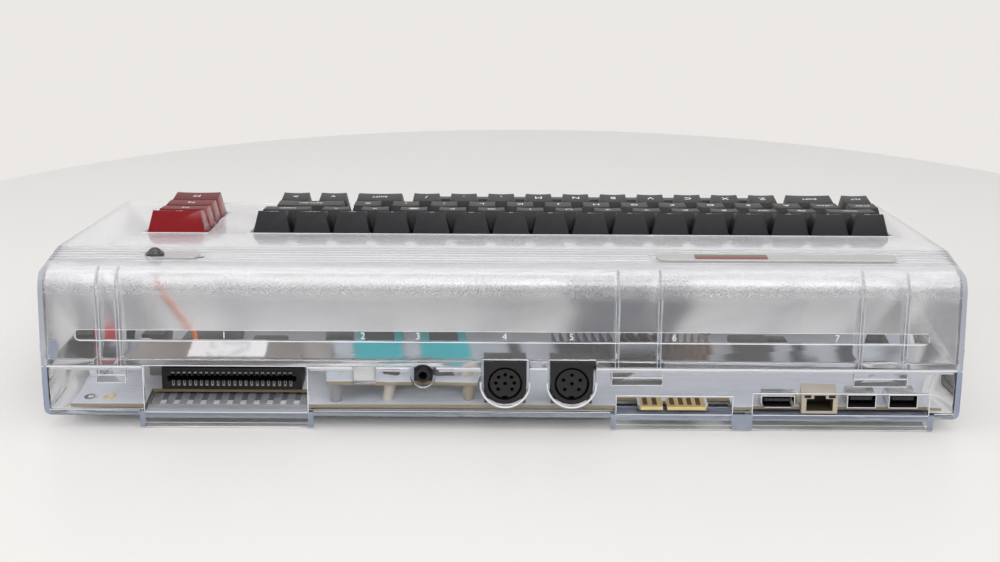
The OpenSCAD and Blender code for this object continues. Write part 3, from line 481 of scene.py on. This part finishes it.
def network_plastic(name):
    """Cream housing with a mouth in painted shade, faint bands for its contacts, and two dark lamp windows.
    """
    f = Finish(name)
    mouths = [f.window(NETWORK_X - 6.1, NETWORK_X + 6.1, 9.2, 15.4),
              f.window(NETWORK_X - 2.8, NETWORK_X + 2.8, 15.3, 17.0)]
    mouths += [f.window(NETWORK_X + side - 1.6, NETWORK_X + side + 1.6, 15.4, 17.0) for side in (-5.4, 5.4)]
    inner = f.blend(f.bands(315.0), (0.012, 0.012, 0.014), (0.10, 0.085, 0.055))
    patch = f.noise(4 * MM, 3.0)
    cream = f.blend(patch, (0.42, 0.37, 0.29), (0.55, 0.49, 0.39))
    dark = f.any_of(mouths) * (f.axes()[1] < 106.6 * MM)
    return f.surface(f.principled(Base_Color=f.blend(dark, cream, inner),
                                  Roughness=f.between(patch, 0.36, 0.5)))


def contact_gold(name):
    """Gold fingers with a worn dark stripe along each contact."""
    f = Finish(name)
    x, y = f.axes()[:2]
    half = 1.05
    worn = f.any_of([f.inside(x, (middle - half) * MM, (middle + half) * MM) for middle in TAPE_CONTACTS])
    patch = f.noise(3 * MM, 2.0)
    gold = f.blend(patch, (0.66, 0.50, 0.20), (0.86, 0.70, 0.34))
    color = f.blend(worn * (y < 103.8 * MM), gold, (0.17, 0.085, 0.05))
    return f.surface(f.principled(Base_Color=color, Metallic=0.55, Roughness=f.between(patch, 0.24, 0.38)))


def bare_label(name):
    """A plain paper label, a little grey and creased, with a darker patch on part of it."""
    f = Finish(name)
    crease = f.noise(5 * MM, 3.0)
    dark_patch = f.inside(f.axes()[0], 114 * MM, 133 * MM) * f.smooth(crease, 0.42, 0.6)
    shade = f.blend(dark_patch * 0.5, (0.88, 0.87, 0.85), (0.42, 0.42, 0.43))
    return f.surface(f.principled(Base_Color=shade, Roughness=f.between(crease, 0.5, 0.66),
                                  Normal=f.bump(crease, 0.05 * MM)))


FINISHES = {
    "clear_upper": clear_plastic("clear_upper", frost=0.23, milk_wall=0.06, milk_deck=0.28,
                                 clear_below=SEAM_Z - 0.1 * MM, lamp_tint=(0.66, 0.66, 0.69)),
    "clear_lower": clear_plastic("clear_lower", frost=0.05, milk_wall=0.05, milk_deck=0.18,
                                 clear_below=SEAM_Z, lamp_tint=(0.86, 0.87, 0.89)),
    # Painted highlights: the two pale edge lines below stand for light caught by the edges of the clear
    # moulding.
    "painted_edge_highlight": polished_edge("painted_edge_highlight", (0.90, 0.91, 0.93)),
    "painted_rim_highlight": polished_edge("painted_rim_highlight", (0.66, 0.70, 0.76)),
    "raised_mark": polished_edge("raised_mark", (0.30, 0.29, 0.30)),
    # Painted blue-grey shade of clear plastic seen edge-on.
    "painted_edge_on_shade": polished_edge("painted_edge_on_shade", (0.30, 0.35, 0.46)),
    "board_white": bare_board("board_white"),
    "fitted_board": fitted_board("fitted_board"),
    "mounted_parts": mounted_parts("mounted_parts"),
    "inner_wires": inner_wires("inner_wires"),
    "sheet_metal": metal("sheet_metal", (0.46, 0.43, 0.41), 0.42, (1, 1, 7)),
    "bright_metal": metal("bright_metal", (0.80, 0.81, 0.83), 0.22, (1, 6, 1)),
    "host_metal": socket_metal("host_metal", [(x - 6.15, x + 6.15, 11.15, 17.05) for x in HOST_X]),
    "video_metal": socket_metal("video_metal", [(-130.0, -115.6, 11.15, 16.35)]),
    "socket_black": opaque_plastic("socket_black", (0.011, 0.011, 0.012), 0.45, gloss=0.36),
    "socket_cream": network_plastic("socket_cream"),
    "rocker_pale": opaque_plastic("rocker_pale", (0.80, 0.80, 0.78), 0.3),
    "plate_steel": metal("plate_steel", (0.42, 0.43, 0.45), 0.45, (8, 1, 1)),
    "switch_dark": opaque_plastic("switch_dark", (0.06, 0.06, 0.07), 0.45),
    "chip_teal": two_tone("chip_teal", (0.005, 0.46, 0.49), (0.03, 0.03, 0.032), MODULE_TEAL_TOP_Z, 0.4),
    "carrier_teal": opaque_plastic("carrier_teal", (0.004, 0.36, 0.40), 0.4, gloss=0.3),
    "cover_metal": metal("cover_metal", (0.42, 0.375, 0.35), 0.5, (1, 1, 7)),
    "tray_plate": opaque_plastic("tray_plate", (0.40, 0.415, 0.435), 0.3),
    "tray_slots": opaque_plastic("tray_slots", (0.16, 0.18, 0.225), 0.3),
    "lamp_dark": opaque_plastic("lamp_dark", (0.045, 0.045, 0.05), 0.18),
    "badge_metal": metal("badge_metal", (0.66, 0.66, 0.67), 0.30, (9, 1, 1)),
    "groove_shade": opaque_plastic("groove_shade", (0.22, 0.22, 0.235), 0.4),
    "foot_rubber": opaque_plastic("foot_rubber", (0.03, 0.03, 0.032), 0.75, 0.4 * MM, 0.05 * MM),
    "screw_steel": metal("screw_steel", (0.55, 0.56, 0.58), 0.3),
    "cap_dark": opaque_plastic("cap_dark", (0.014, 0.014, 0.0165), 0.46, 0.35 * MM, 0.02 * MM, 0.3),
    "cap_red": red_cap("cap_red"),
    "contact_gold": contact_gold("contact_gold"),
    "contact_steel": metal("contact_steel", (0.66, 0.64, 0.60), 0.3),
    "legend_white": opaque_plastic("legend_white", (0.84, 0.84, 0.84), 0.5),
    "inlay": opaque_plastic("inlay", (0.21, 0.035, 0.026), 0.3, gloss=0.3),
    "inlay_olive": opaque_plastic("inlay_olive", (0.15, 0.15, 0.09), 0.3, gloss=0.3),
    "label": bare_label("label"),
}
# Nodes whose finish isn't the plain one of their slot.
SPECIAL_FINISH = {"av_board": "fitted_board", "board_parts": "mounted_parts", "inner_leads": "inner_wires",
                  "host_sockets": "host_metal", "digital_video_socket": "video_metal"}
SLOT_OF_NODE = {part["node"]: part["material_slot"] for part in frame["record"]["subparts"]}


def finish_of(node):
    """The name of a node's finish."""
    return SPECIAL_FINISH.get(node, SLOT_OF_NODE[node])


# ---------- modelling helpers ----------
def focus(obj):
    """Makes a piece the only one that is selected."""
    if bpy.context.object and bpy.context.object.mode != "OBJECT":
        bpy.ops.object.mode_set(mode="OBJECT")
    bpy.ops.object.select_all(action="DESELECT")
    obj.select_set(True)
    bpy.context.view_layer.objects.active = obj


def modify(obj, kind, **settings):
    """Gives a piece a modifier and applies it."""
    focus(obj)
    bpy.ops.object.modifier_add(type=kind)
    modifier = obj.modifiers[-1]
    for key, setting in settings.items():
        setattr(modifier, key, setting)
    bpy.ops.object.modifier_apply(modifier=modifier.name)


def settle(obj):
    """Puts the place of a piece into its mesh."""
    focus(obj)
    bpy.ops.object.transform_apply(location=True, rotation=True, scale=True)


def dress(obj, name, body, finish):
    """Names a finished piece, gives it its finish and lets it ride on a body."""
    obj.name = name
    obj.data.name = name
    obj.data.materials.clear()
    obj.data.materials.append(FINISHES[finish])
    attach(obj, body)


def merged_copy(node, name):
    """The node's mesh with its loose triangles joined into whole faces."""
    piece = bpy.data.objects.new(name, frame["nodes"][node].data.copy())
    bpy.context.scene.collection.objects.link(piece)
    focus(piece)
    bpy.ops.object.mode_set(mode="EDIT")
    bpy.ops.mesh.select_all(action="SELECT")
    bpy.ops.mesh.remove_doubles(threshold=0.002 * MM)
    bpy.ops.mesh.dissolve_limited(angle_limit=math.radians(0.6))
    bpy.ops.object.mode_set(mode="OBJECT")
    return piece


def soften(node, width, segments, limit, clamp=True, edge_finish=None, shape=None):
    """Replaces a node by a copy with rounded edges, which may have a finish of their own.

    The edges that turn by more than limit degrees are rounded. shape is worked on the copy's mesh first.
    """
    piece = merged_copy(node, node + "_piece")
    if shape:
        shape(piece.data)
    modify(piece, "BEVEL", width=width, segments=segments, limit_method="ANGLE",
           angle_limit=math.radians(limit), use_clamp_overlap=clamp, material=1 if edge_finish else -1)
    focus(piece)
    bpy.ops.object.shade_smooth_by_angle(angle=math.radians(28))
    body = frame["nodes"][node]["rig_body"]
    dress(piece, node + "_piece", body, finish_of(node))
    if edge_finish:
        piece.data.materials.append(FINISHES[edge_finish])
    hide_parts(node)


def block(x0, x1, y0, y1, z0, z1):
    """A box between those ends, in metres."""
    bpy.ops.object.select_all(action="DESELECT")
    bpy.ops.mesh.primitive_cube_add(size=1, location=((x0 + x1) / 2, (y0 + y1) / 2, (z0 + z1) / 2))
    obj = bpy.context.object
    obj.scale = (x1 - x0, y1 - y0, z1 - z0)
    settle(obj)
    return obj


def joined(objects):
    """The objects as one, which is the first of them."""
    focus(objects[0])
    for obj in objects:
        obj.select_set(True)
    bpy.ops.object.join()
    return objects[0]


def blocks(boxes, edge=0.04):
    """One object from boxes x0, x1, y0, y1, z0, z1. They and the width of the edges are millimetres."""
    piece = joined([block(*(value * MM for value in box)) for box in boxes])
    modify(piece, "BEVEL", width=edge * MM, segments=1)
    return piece


def trim(name, finish, boxes, edge=0.04):
    """Thin boxes on the case, in millimetres, as one piece."""
    dress(blocks(boxes, edge), name, "case", finish)


def lay(piece, angle, place):
    """Turns a piece about X and moves it to its place."""
    piece.rotation_euler.x = angle
    piece.location = place
    settle(piece)


def ring(radius, thickness, around, across):
    """A ring that lies flat at the origin, with its sizes in millimetres."""
    bpy.ops.object.select_all(action="DESELECT")
    bpy.ops.mesh.primitive_torus_add(major_radius=radius * MM, minor_radius=thickness * MM,
                                     major_segments=around, minor_segments=across)
    return bpy.context.object


def row_of(piece, places):
    """The piece at each of the places, which are x offsets in millimetres, as one object."""
    made = []
    for dx in places:
        twin = piece.copy()
        twin.data = piece.data.copy()
        bpy.context.scene.collection.objects.link(twin)
        twin.location.x = dx * MM
        settle(twin)
        made.append(twin)
    bpy.data.objects.remove(piece)
    return joined(made)


# ---------- camera, stage and light ----------
# Focal length and width of the frame in pixels, and width of the sensor in millimetres.
FOCAL_PX = 1939
FRAME_PX = 1000
SENSOR = 36
CAMERA_PLACE = (0.0011, 0.9105, 0.330)
# How far the camera looks down, and how far it is turned about its own line of sight, in degrees.
CAMERA_DOWN = 17.96
CAMERA_ROLL = 0.316
TABLE_RADIUS = 0.48
TABLE_THICKNESS = 0.03
TABLE_MIDDLE = (-0.02, 0.01)
# Name, place, what it points at, width and height, power.
SOFTBOXES = [
    ("top_softbox", (0, 0.15, 1.3), (0, 0, 0), (1.6, 1.1), 9.0),
    ("rear_softbox", (-0.35, 1.25, 1.15), (0, 0.1, 0.05), (1.3, 0.5), 8.0),
    ("left_softbox", (1.3, 0.5, 0.8), (0, 0, 0.03), (0.9, 0.9), 4.0),
]


def set_camera():
    """The camera looks at the rear of the computer from a little above it."""
    data = bpy.data.cameras.new("camera")
    data.sensor_width = SENSOR
    data.lens = FOCAL_PX / FRAME_PX * SENSOR
    data.clip_start = 0.05
    camera = bpy.data.objects.new("camera", data)
    bpy.context.scene.collection.objects.link(camera)
    bpy.context.scene.camera = camera
    turn = (Matrix.Rotation(math.radians(180), 4, "Z")
            @ Matrix.Rotation(math.radians(90 - CAMERA_DOWN), 4, "X")
            @ Matrix.Rotation(math.radians(CAMERA_ROLL), 4, "Z"))
    camera.matrix_world = Matrix.Translation(CAMERA_PLACE) @ turn


def set_table():
    """A round white table top under the computer."""
    bpy.ops.object.select_all(action="DESELECT")
    bpy.ops.mesh.primitive_cylinder_add(vertices=256, radius=TABLE_RADIUS, depth=TABLE_THICKNESS,
                                        location=(*TABLE_MIDDLE, -TABLE_THICKNESS / 2))
    table = bpy.context.object
    table.name = "table"
    settle(table)
    modify(table, "BEVEL", width=0.006, segments=4, limit_method="ANGLE", angle_limit=math.radians(40))
    focus(table)
    bpy.ops.object.shade_smooth_by_angle(angle=math.radians(30))
    f = Finish("table_white")
    patch = f.noise(0.25, 2.0)
    shade = f.blend(patch, (0.735, 0.715, 0.69), (0.765, 0.745, 0.72))
    table.data.materials.append(f.surface(f.principled(Base_Color=shade, Roughness=0.36)))


def set_world():
    """A bright studio: one colour is seen, and a dimmer one lights the computer."""
    f = Finish("studio", bpy.data.worlds)
    bpy.context.scene.world = f.material
    path = f.node("ShaderNodeLightPath")
    camera, through, mirrored = (Value(f, path.outputs[kind + " Ray"])
                                 for kind in ("Is Camera", "Is Transmission", "Is Glossy"))
    seen = (camera + through + mirrored) > 0.5
    backdrop = f.add("ShaderNodeBackground", inputs={0: (0.830, 0.806, 0.783, 1)})
    lighting = f.add("ShaderNodeBackground", inputs={0: (0.96, 0.97, 1.0, 1), 1: 0.55})
    f.node("ShaderNodeOutputWorld", inputs={"Surface": f.mixed(seen, lighting, backdrop)})


def set_light():
    for name, place, aim, size, power in SOFTBOXES:
        data = bpy.data.lights.new(name, "AREA")
        data.shape = "RECTANGLE"
        data.size, data.size_y = size
        data.energy = power
        lamp = bpy.data.objects.new(name, data)
        bpy.context.scene.collection.objects.link(lamp)
        way = (Vector(aim) - Vector(place)).to_track_quat("-Z", "Y").to_matrix().to_4x4()
        lamp.matrix_world = Matrix.Translation(place) @ way


# ---------- finishes on the solids ----------
def dress_nodes():
    """Gives every solid its finish."""
    for name, node in frame["nodes"].items():
        node.data.materials.clear()
        node.data.materials.append(FINISHES[finish_of(name)])


OTHER_KEY_NODES = ("key_plate", "key_switches", "keyboard_board")
CAPS = [name for name in frame["nodes"]
        if name.startswith(("key_", "letters_", "space_")) and name not in OTHER_KEY_NODES]
SOFTENED_NODES = ["cartridge_socket", "shield_box", "av_board", "host_sockets", "digital_video_socket",
                  "audio_jack", "network_socket", "switch_body", "switch_rocker", "power_lamp",
                  "board_parts", "sound_chips"]


def level_dish(mesh):
    """Brings the rim of a cap's hollow top nearly level, as a shallow dish has it."""
    for vertex in mesh.vertices:
        spot = ON_SLOPE.inverted() @ vertex.co
        if spot.z > CAP_TOP - CAP_RIM:
            spot.z = CAP_TOP - DISH_LEFT * (CAP_TOP - spot.z)
            vertex.co = ON_SLOPE @ spot
    mesh.update()


def soften_nodes():
    """Rounds the edges of the solids that show."""
    for cap in CAPS:
        soften(cap, width=0.9 * MM, segments=3, limit=25, shape=None if cap == "space_bar" else level_dish)
    for shell in ("upper_shell", "lower_shell"):
        # The rounded edges of the shells get the painted highlight finish.
        soften(shell, width=0.26 * MM, segments=2, limit=30, clamp=False, edge_finish="painted_edge_highlight")
    soften("badge_plates", width=0.35 * MM, segments=2, limit=30, edge_finish="raised_mark")
    for node in SOFTENED_NODES:
        soften(node, width=0.2 * MM, segments=2, limit=30)


# ---------- main board ----------
def shape_main_board():
    """The main board, cut back at both sides of its tape contacts and between the two groups."""
    board = merged_copy("main_board", "main_board_piece")
    for x0, x1, y0 in TAPE_CUTS:
        cutter = block(x0 * MM, x1 * MM, y0 * MM, 107 * MM, 7.5 * MM, 12 * MM)
        modify(board, "BOOLEAN", object=cutter, operation="DIFFERENCE", solver="EXACT")
        bpy.data.objects.remove(cutter)
    modify(board, "BEVEL", width=0.12 * MM, segments=1, limit_method="ANGLE", angle_limit=math.radians(40))
    dress(board, "main_board_piece", "case", "board_white")
    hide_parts("main_board")


def socket_contacts():
    """Sprung contacts in the cartridge socket, an upper tick and a lower fork for each place."""
    back = SOCKET_BACK
    boxes = [(side * 0.42 - 0.13, side * 0.42 + 0.13, back - 1.2, back - 0.1, 12.7, 15.0) for side in (-1, 1)]
    boxes += [(-0.55, 0.55, back - 1.2, back + 0.02, 12.5, 13.2)]
    boxes += [(side * 0.36 - 0.22, side * 0.36 + 0.22, back - 1.0, back + 0.04, 18.5, 19.1)
              for side in (-1, 1)]
    row = row_of(blocks(boxes, 0.05), CONTACTS_X)
    dress(row, "socket_contacts", "case", "contact_steel")


def tape_contacts():
    """Gold on the tops and the rear edges of the board's two tongues."""
    tops = [(x0, x1, 95, 106.35, 10.78, 10.86) for x0, x1 in TAPE_GROUPS]
    ends = [(x0, x1, 106.34, 106.42, 9.4, 10.8) for x0, x1 in TAPE_GROUPS]
    trim("tape_contacts", "contact_gold", tops + ends)


def ring_pads():
    """Two flat rings of metal at the corner of the board."""
    for name, finish, x in (("earth_pad", "bright_metal", 185.5), ("gold_pad", "contact_gold", 177)):
        pad = ring(2.1, 1.0, 40, 8)
        pad.scale.z = 0.15
        lay(pad, 0, (x * MM, 97 * MM, BOARD_TOP_Z))
        dress(pad, name, "case", finish)


def inner_trim():
    """The teal boards of the sound modules, and the labelled metal cover over the cartridge socket."""
    trim("sound_carriers", "carrier_teal",
         [(x - 11.35, x + 11.35, 47.4, 82, CARRIER_Z, CARRIER_Z + 0.8) for x in CARRIERS_X])
    sheet = (90.5, 166, 70, 101, 30.4, COVER_TOP_Z)
    flange = (100, 150, 69.9, 70.6, 23, COVER_TOP_Z)
    trim("shield_cover", "cover_metal", [sheet, flange])
    trim("shield_label", "label",
         [(106.5, 141.2, 79.8, 97, COVER_TOP_Z, COVER_TOP_Z + 0.25)], 0.1)


def tray_surface():
    """The plate behind the cartridge socket, its slots in painted shade and their ends in painted highlights.
    """
    for name, finish, boxes in (
            ("tray_plate", "tray_plate", [(87.2, 157.8, 78.5, 104.4, 7.62, 7.74)]),
            ("tray_slots", "tray_slots", [(x - 1.3, x + 1.3, 79.5, 93.4, 7.7, 7.8) for x in SLOTS_X]),
            ("slot_ends", "painted_edge_highlight", [(x - 1.2, x + 1.2, 93.4, 95.6, 7.7, 7.82) for x in SLOTS_X])):
        trim(name, finish, boxes)


# ---------- moulded lines, rims and marks of the case ----------
def clear_spans(x_ends):
    """Pairs of ends from a row of them."""
    return list(zip(x_ends[::2], x_ends[1::2]))


def case_lines():
    """The bright lines where thick and thin parts of the clear moulding meet, as painted highlights."""
    rear = REAR_Y / MM
    seam = clear_spans((-203.3, -42, -20, -12.5, 9.7, 29, 41, 55.5, 66.3, 85.8, 159.2, 203.3))
    lip = clear_spans((-200, -42.5, 9.5, 28, 42, 55, 67, 85, 160, 200))
    floor = clear_spans((-203, -192.5, -48.3, 83.8, 161.2, 203))
    near, deep = rear - 0.06, rear - 0.5
    boxes = [(x0, x1, rear - 0.4, near, 28.6, 29.35) for x0, x1 in seam]
    boxes += [(x0, x1, 104.6, 104.98, 26.7, 27.4) for x0, x1 in lip]
    boxes += [(x0, x1, rear - 0.9, deep, 8.2, 8.55) for x0, x1 in floor]
    # The two sides, the top and the floor of each opening.
    for x0, x1, top in OPENINGS:
        boxes += [(x0 - 0.35, x0 - 0.02, deep, near, 7.9, top),
                  (x1 + 0.02, x1 + 0.35, deep, near, 7.9, top),
                  (x0 - 0.3, x1 + 0.3, deep, near, top + 0.02, top + 0.4),
                  (x0 + 0.1, x1 - 0.1, deep, rear - 0.05, 7.5, 7.76)]
    for x0, x1 in TRAYS:
        boxes += [(x0, x1, rear - 0.3, rear - 0.04, 0.6, 0.9),
                  (x0, x1, rear - 0.3, rear - 0.04, 2.7, 2.9)]
    # The lower and the upper edge of the recessed strip.
    half = STRIP_HALF_LENGTH / MM - 1.5
    boxes += [(-half, half, 107.15, 107.5, 40.9, 41.2), (-half, half, 106.95, 107.27, 46.02, 46.2)]
    trim("case_lines", "painted_edge_highlight", boxes)
    # Painted highlights behind the slots of the tray.
    trim("tray_marks", "painted_edge_highlight",
         [(x - 1.3, x + 1.3, 95.6, 98.4, 7.66, 7.76) for x in SLOTS_X])


def latch_lines():
    """The outlines of the latch tongues and the edges of the ribs above them, as painted highlights."""
    low, step, top = 20.6, 24.0, 29
    inner_y, outer_y = 104.62, 104.86
    boxes = []
    for middle, apart in LATCHES:
        left = middle - apart / 2 - 2.1
        right = middle + apart / 2 + 2.1
        boxes += [(left, right, inner_y, outer_y, step, step + 0.5),
                  (left, right, inner_y, outer_y, low, low + 0.3),
                  (left, left + 0.25, inner_y, outer_y, low, top),
                  (right - 0.25, right, inner_y, outer_y, low, top)]
    trim("latch_lines", "painted_edge_highlight", boxes)
    rib_edges = [middle + side * apart / 2 + edge
                 for middle, apart in LATCHES for side in (-1, 1) for edge in (-0.75, 0.75)]
    ribs = blocks([(x - 0.14, x + 0.14, -0.35, -0.08, 0, 30.5) for x in rib_edges], 0.03)
    lay(ribs, REAR_LEAN, (0, REAR_Y, SEAM_Z))
    dress(ribs, "rib_lines", "case", "painted_rim_highlight")
    # Painted shade: the end rib is given a dark blue-grey, as clear plastic seen edge-on.
    trim("end_rib", "painted_edge_on_shade", [(196.4, 200.2, 103.6, 104.8, 32, 40.5)], 0.3)


def port_collar(name, x):
    """A painted highlight: the bright rounded rim under a round socket."""
    collar = ring(10.9, 0.45, 96, 12)
    lay(collar, math.radians(90), (0, 0, 0))
    collar.scale = (1, 0.8, 1.0)
    lay(collar, 0, (x * MM, 107.3 * MM, PORT_Z * MM))
    focus(collar)
    bpy.ops.object.mode_set(mode="EDIT")
    bpy.ops.mesh.select_all(action="SELECT")
    bpy.ops.mesh.bisect(plane_co=(0, 0, COLLAR_TOP_Z * MM), plane_no=(0, 0, 1), clear_outer=True,
                        use_fill=True)
    bpy.ops.object.mode_set(mode="OBJECT")
    bpy.ops.object.shade_smooth_by_angle(angle=math.radians(40))
    dress(collar, name, "case", "painted_edge_highlight")


def lettering(text, size, depth):
    """A centred sign as a mesh of the given depth, flat on the XY plane."""
    bpy.ops.object.select_all(action="DESELECT")
    bpy.ops.object.text_add()
    sign = bpy.context.object
    sign.data.body = text
    sign.data.size = size
    sign.data.extrude = depth / 2
    sign.data.resolution_u = 3
    sign.data.align_x = "CENTER"
    sign.data.align_y = "CENTER"
    bpy.ops.object.convert(target="MESH")
    return bpy.context.object


def strip_numbers():
    """Plain raised numbers over the sockets, read from the rear, white as painted highlights."""
    to_rear = Matrix.Rotation(math.radians(180), 4, "Z") @ Matrix.Rotation(math.radians(90), 4, "X")
    signs = []
    for number, x in enumerate(NUMBERS_X, 1):
        sign = lettering(str(number), 4.4 * MM, 0.5 * MM)
        sign.matrix_world = Matrix.Translation((x * MM, 106.72 * MM, STRIP_MID_Z)) @ to_rear
        settle(sign)
        signs.append(sign)
    dress(joined(signs), "strip_numbers", "case", "painted_edge_highlight")


def deck_lines():
    """The shaded floors of the grooves, and painted highlights on the rims of the grooves and on the rear
    edges of the key openings.
    """
    whole = [(-GROOVES_END_X, GROOVES_END_X)]
    broken = [(-GROOVES_END_X, LONG_PLATE[0]), (LONG_PLATE[1], LAMP_AND_PLATE[0]),
              (LAMP_AND_PLATE[1], GROOVES_END_X)]
    floors, rims = [], []
    for i, spans in enumerate((whole, whole, broken, broken, broken, whole)):
        y = FIRST_GROOVE_Y + i * GROOVE_PITCH
        floors += [(x0, x1, y - 0.42, y + 0.42, 71.82, 71.9) for x0, x1 in spans]
        rims += [(x0, x1, y + 0.56, y + 0.86, 72.45, 72.53) for x0, x1 in spans]
    trim("groove_floors", "groove_shade", floors)
    trim("groove_rims", "painted_edge_highlight", rims)
    rear = -KEYS_BACK + 1.6
    edge = blocks([(x0, x1, rear, rear + 0.7, -0.1, 0.1) for x0, x1 in KEY_OPENINGS])
    lay(edge, DECK_SLOPE, (0, SLOPE_Y, DECK_Z))
    dress(edge, "key_well_edge", "case", "painted_edge_highlight")


def badge_inlay():
    """Two coloured stripes on the long plate."""
    front, middle, back = 78.6, 81.8, 85.0
    for name, finish, y0, y1 in (("badge_inlay", "inlay", middle, back),
                                 ("badge_inlay_front", "inlay_olive", front, middle - 0.1)):
        trim(name, finish, [(-118.5, -85.9, y0, y1, 73.28, 73.42)])


# ---------- key legends ----------
# Node, row, left edge of its first key in key units, signs.
LEGENDS = {
    "letters_upper": (1, 1.5, "QWERTYUIOP@*^"),
    "letters_middle": (2, 1.75, "ASDFGHJKL:;="),
    "letters_lower": (3, 2.25, "ZXCVBNM,./"),
}
# Node, row, left edge and width in key units, sign.
SINGLE_LEGENDS = [
    ("key_arrow", 0, 0, 1, "<"), ("key_plus", 0, 11, 1, "+"), ("key_minus", 0, 12, 1, "-"),
    ("key_pound", 0, 13, 1, "#"), ("key_home", 0, 14, 1, "HOME"), ("key_delete", 0, 15, 1, "DEL"),
    ("key_control", 1, 0, 1.5, "CTRL"), ("key_restore", 1, 14.5, 1.5, "RESET"),
    ("key_stop", 2, -0.25, 1, "STOP"), ("key_shift_lock", 2, 0.75, 1, "LOCK"),
    ("key_return", 2, 13.75, 2, "RETURN"),
    ("key_symbol", 3, -0.25, 1, "ALT"), ("key_shift_left", 3, 0.75, 1.5, "SHIFT"),
    ("key_shift_right", 3, 12.25, 1.5, "SHIFT"), ("key_cursor_down", 3, 13.75, 1, "v"),
    ("key_cursor_right", 3, 14.75, 1, ">"),
] + [("key_%d" % ((i + 1) % 10), 0, i + 1, 1, str((i + 1) % 10)) for i in range(10)]
FUNCTION_LEFT = (FUNCTION_KEYS_LEFT - KEYS_LEFT) / KEY_PITCH
SINGLE_LEGENDS += [("key_f%d" % (2 * i + 1), i, FUNCTION_LEFT, 1.5, "F%d" % (2 * i + 1)) for i in range(4)]
# The height of the letters of a sign by how many it has, in millimetres.
LEGEND_SIZES = {1: 5.4, 2: 4.2}
WORD_SIZE = 3.1


def legend(sign, row, left, units):
    """A sign on the dished top of a key."""
    mark = lettering(sign, LEGEND_SIZES.get(len(sign), WORD_SIZE) * MM, 0.3 * MM)
    x = (KEYS_LEFT + (left + units / 2) * KEY_PITCH) * MM
    along = (-KEYS_BACK - (row + 0.5) * KEY_PITCH) * MM
    dish = CAP_TOP - DISH_LEFT * CAP_DISH
    mark.matrix_world = ON_SLOPE @ Matrix.Translation((x, along, dish + 0.03 * MM))
    settle(mark)
    mark.data.materials.append(FINISHES["legend_white"])
    return mark


# For each row from the rear, with the space bar as the last: how far the tops of its caps rise towards
# the user, per length, and by how many millimetres they are lowered.
ROW_TILT = [-0.13, -0.02, 0.04, 0.15, -0.04]
ROW_DROP = [0, 1.8, 2.2, 2.2, 1.9]
SPACE_BAR_ROW = 4


def sculpt_caps():
    """Tilts the tops of the caps row by row, so that the rows form a hollow."""
    for name in CAPS:
        mesh = bpy.data.objects[name + "_piece"].data
        for vertex in mesh.vertices:
            spot = ON_SLOPE.inverted() @ vertex.co
            if spot.z > CAP_SHOULDER:
                forward = -KEYS_BACK - spot.y / MM
                row = SPACE_BAR_ROW
                if name != "space_bar":
                    row = min(SPACE_BAR_ROW - 1, max(0, int(forward / KEY_PITCH)))
                share = (spot.z - CAP_SHOULDER) / (CAP_TOP - CAP_SHOULDER)
                spot.z += share * (ROW_TILT[row] * (forward - row * KEY_PITCH) - ROW_DROP[row]) * MM
                vertex.co = ON_SLOPE @ spot
        mesh.update()


def add_legends():
    """Joins the legends to their caps, so that they move with them."""
    for name, (row, left, signs) in LEGENDS.items():
        marks = [legend(sign, row, left + i, 1) for i, sign in enumerate(signs)]
        joined([bpy.data.objects[name + "_piece"]] + marks)
    for name, row, left, units, sign in SINGLE_LEGENDS:
        joined([bpy.data.objects[name + "_piece"], legend(sign, row, left, units)])


# ---------- the whole computer ----------
bpy.context.scene.view_settings.view_transform = "Standard"
set_camera()
set_table()
set_world()
set_light()
dress_nodes()
soften_nodes()
shape_main_board()
socket_contacts()
tape_contacts()
ring_pads()
inner_trim()
tray_surface()
case_lines()
latch_lines()
port_collar("video_collar", VIDEO_X)
port_collar("serial_collar", SERIAL_X)
strip_numbers()
deck_lines()
badge_inlay()
add_legends()
sculpt_caps()
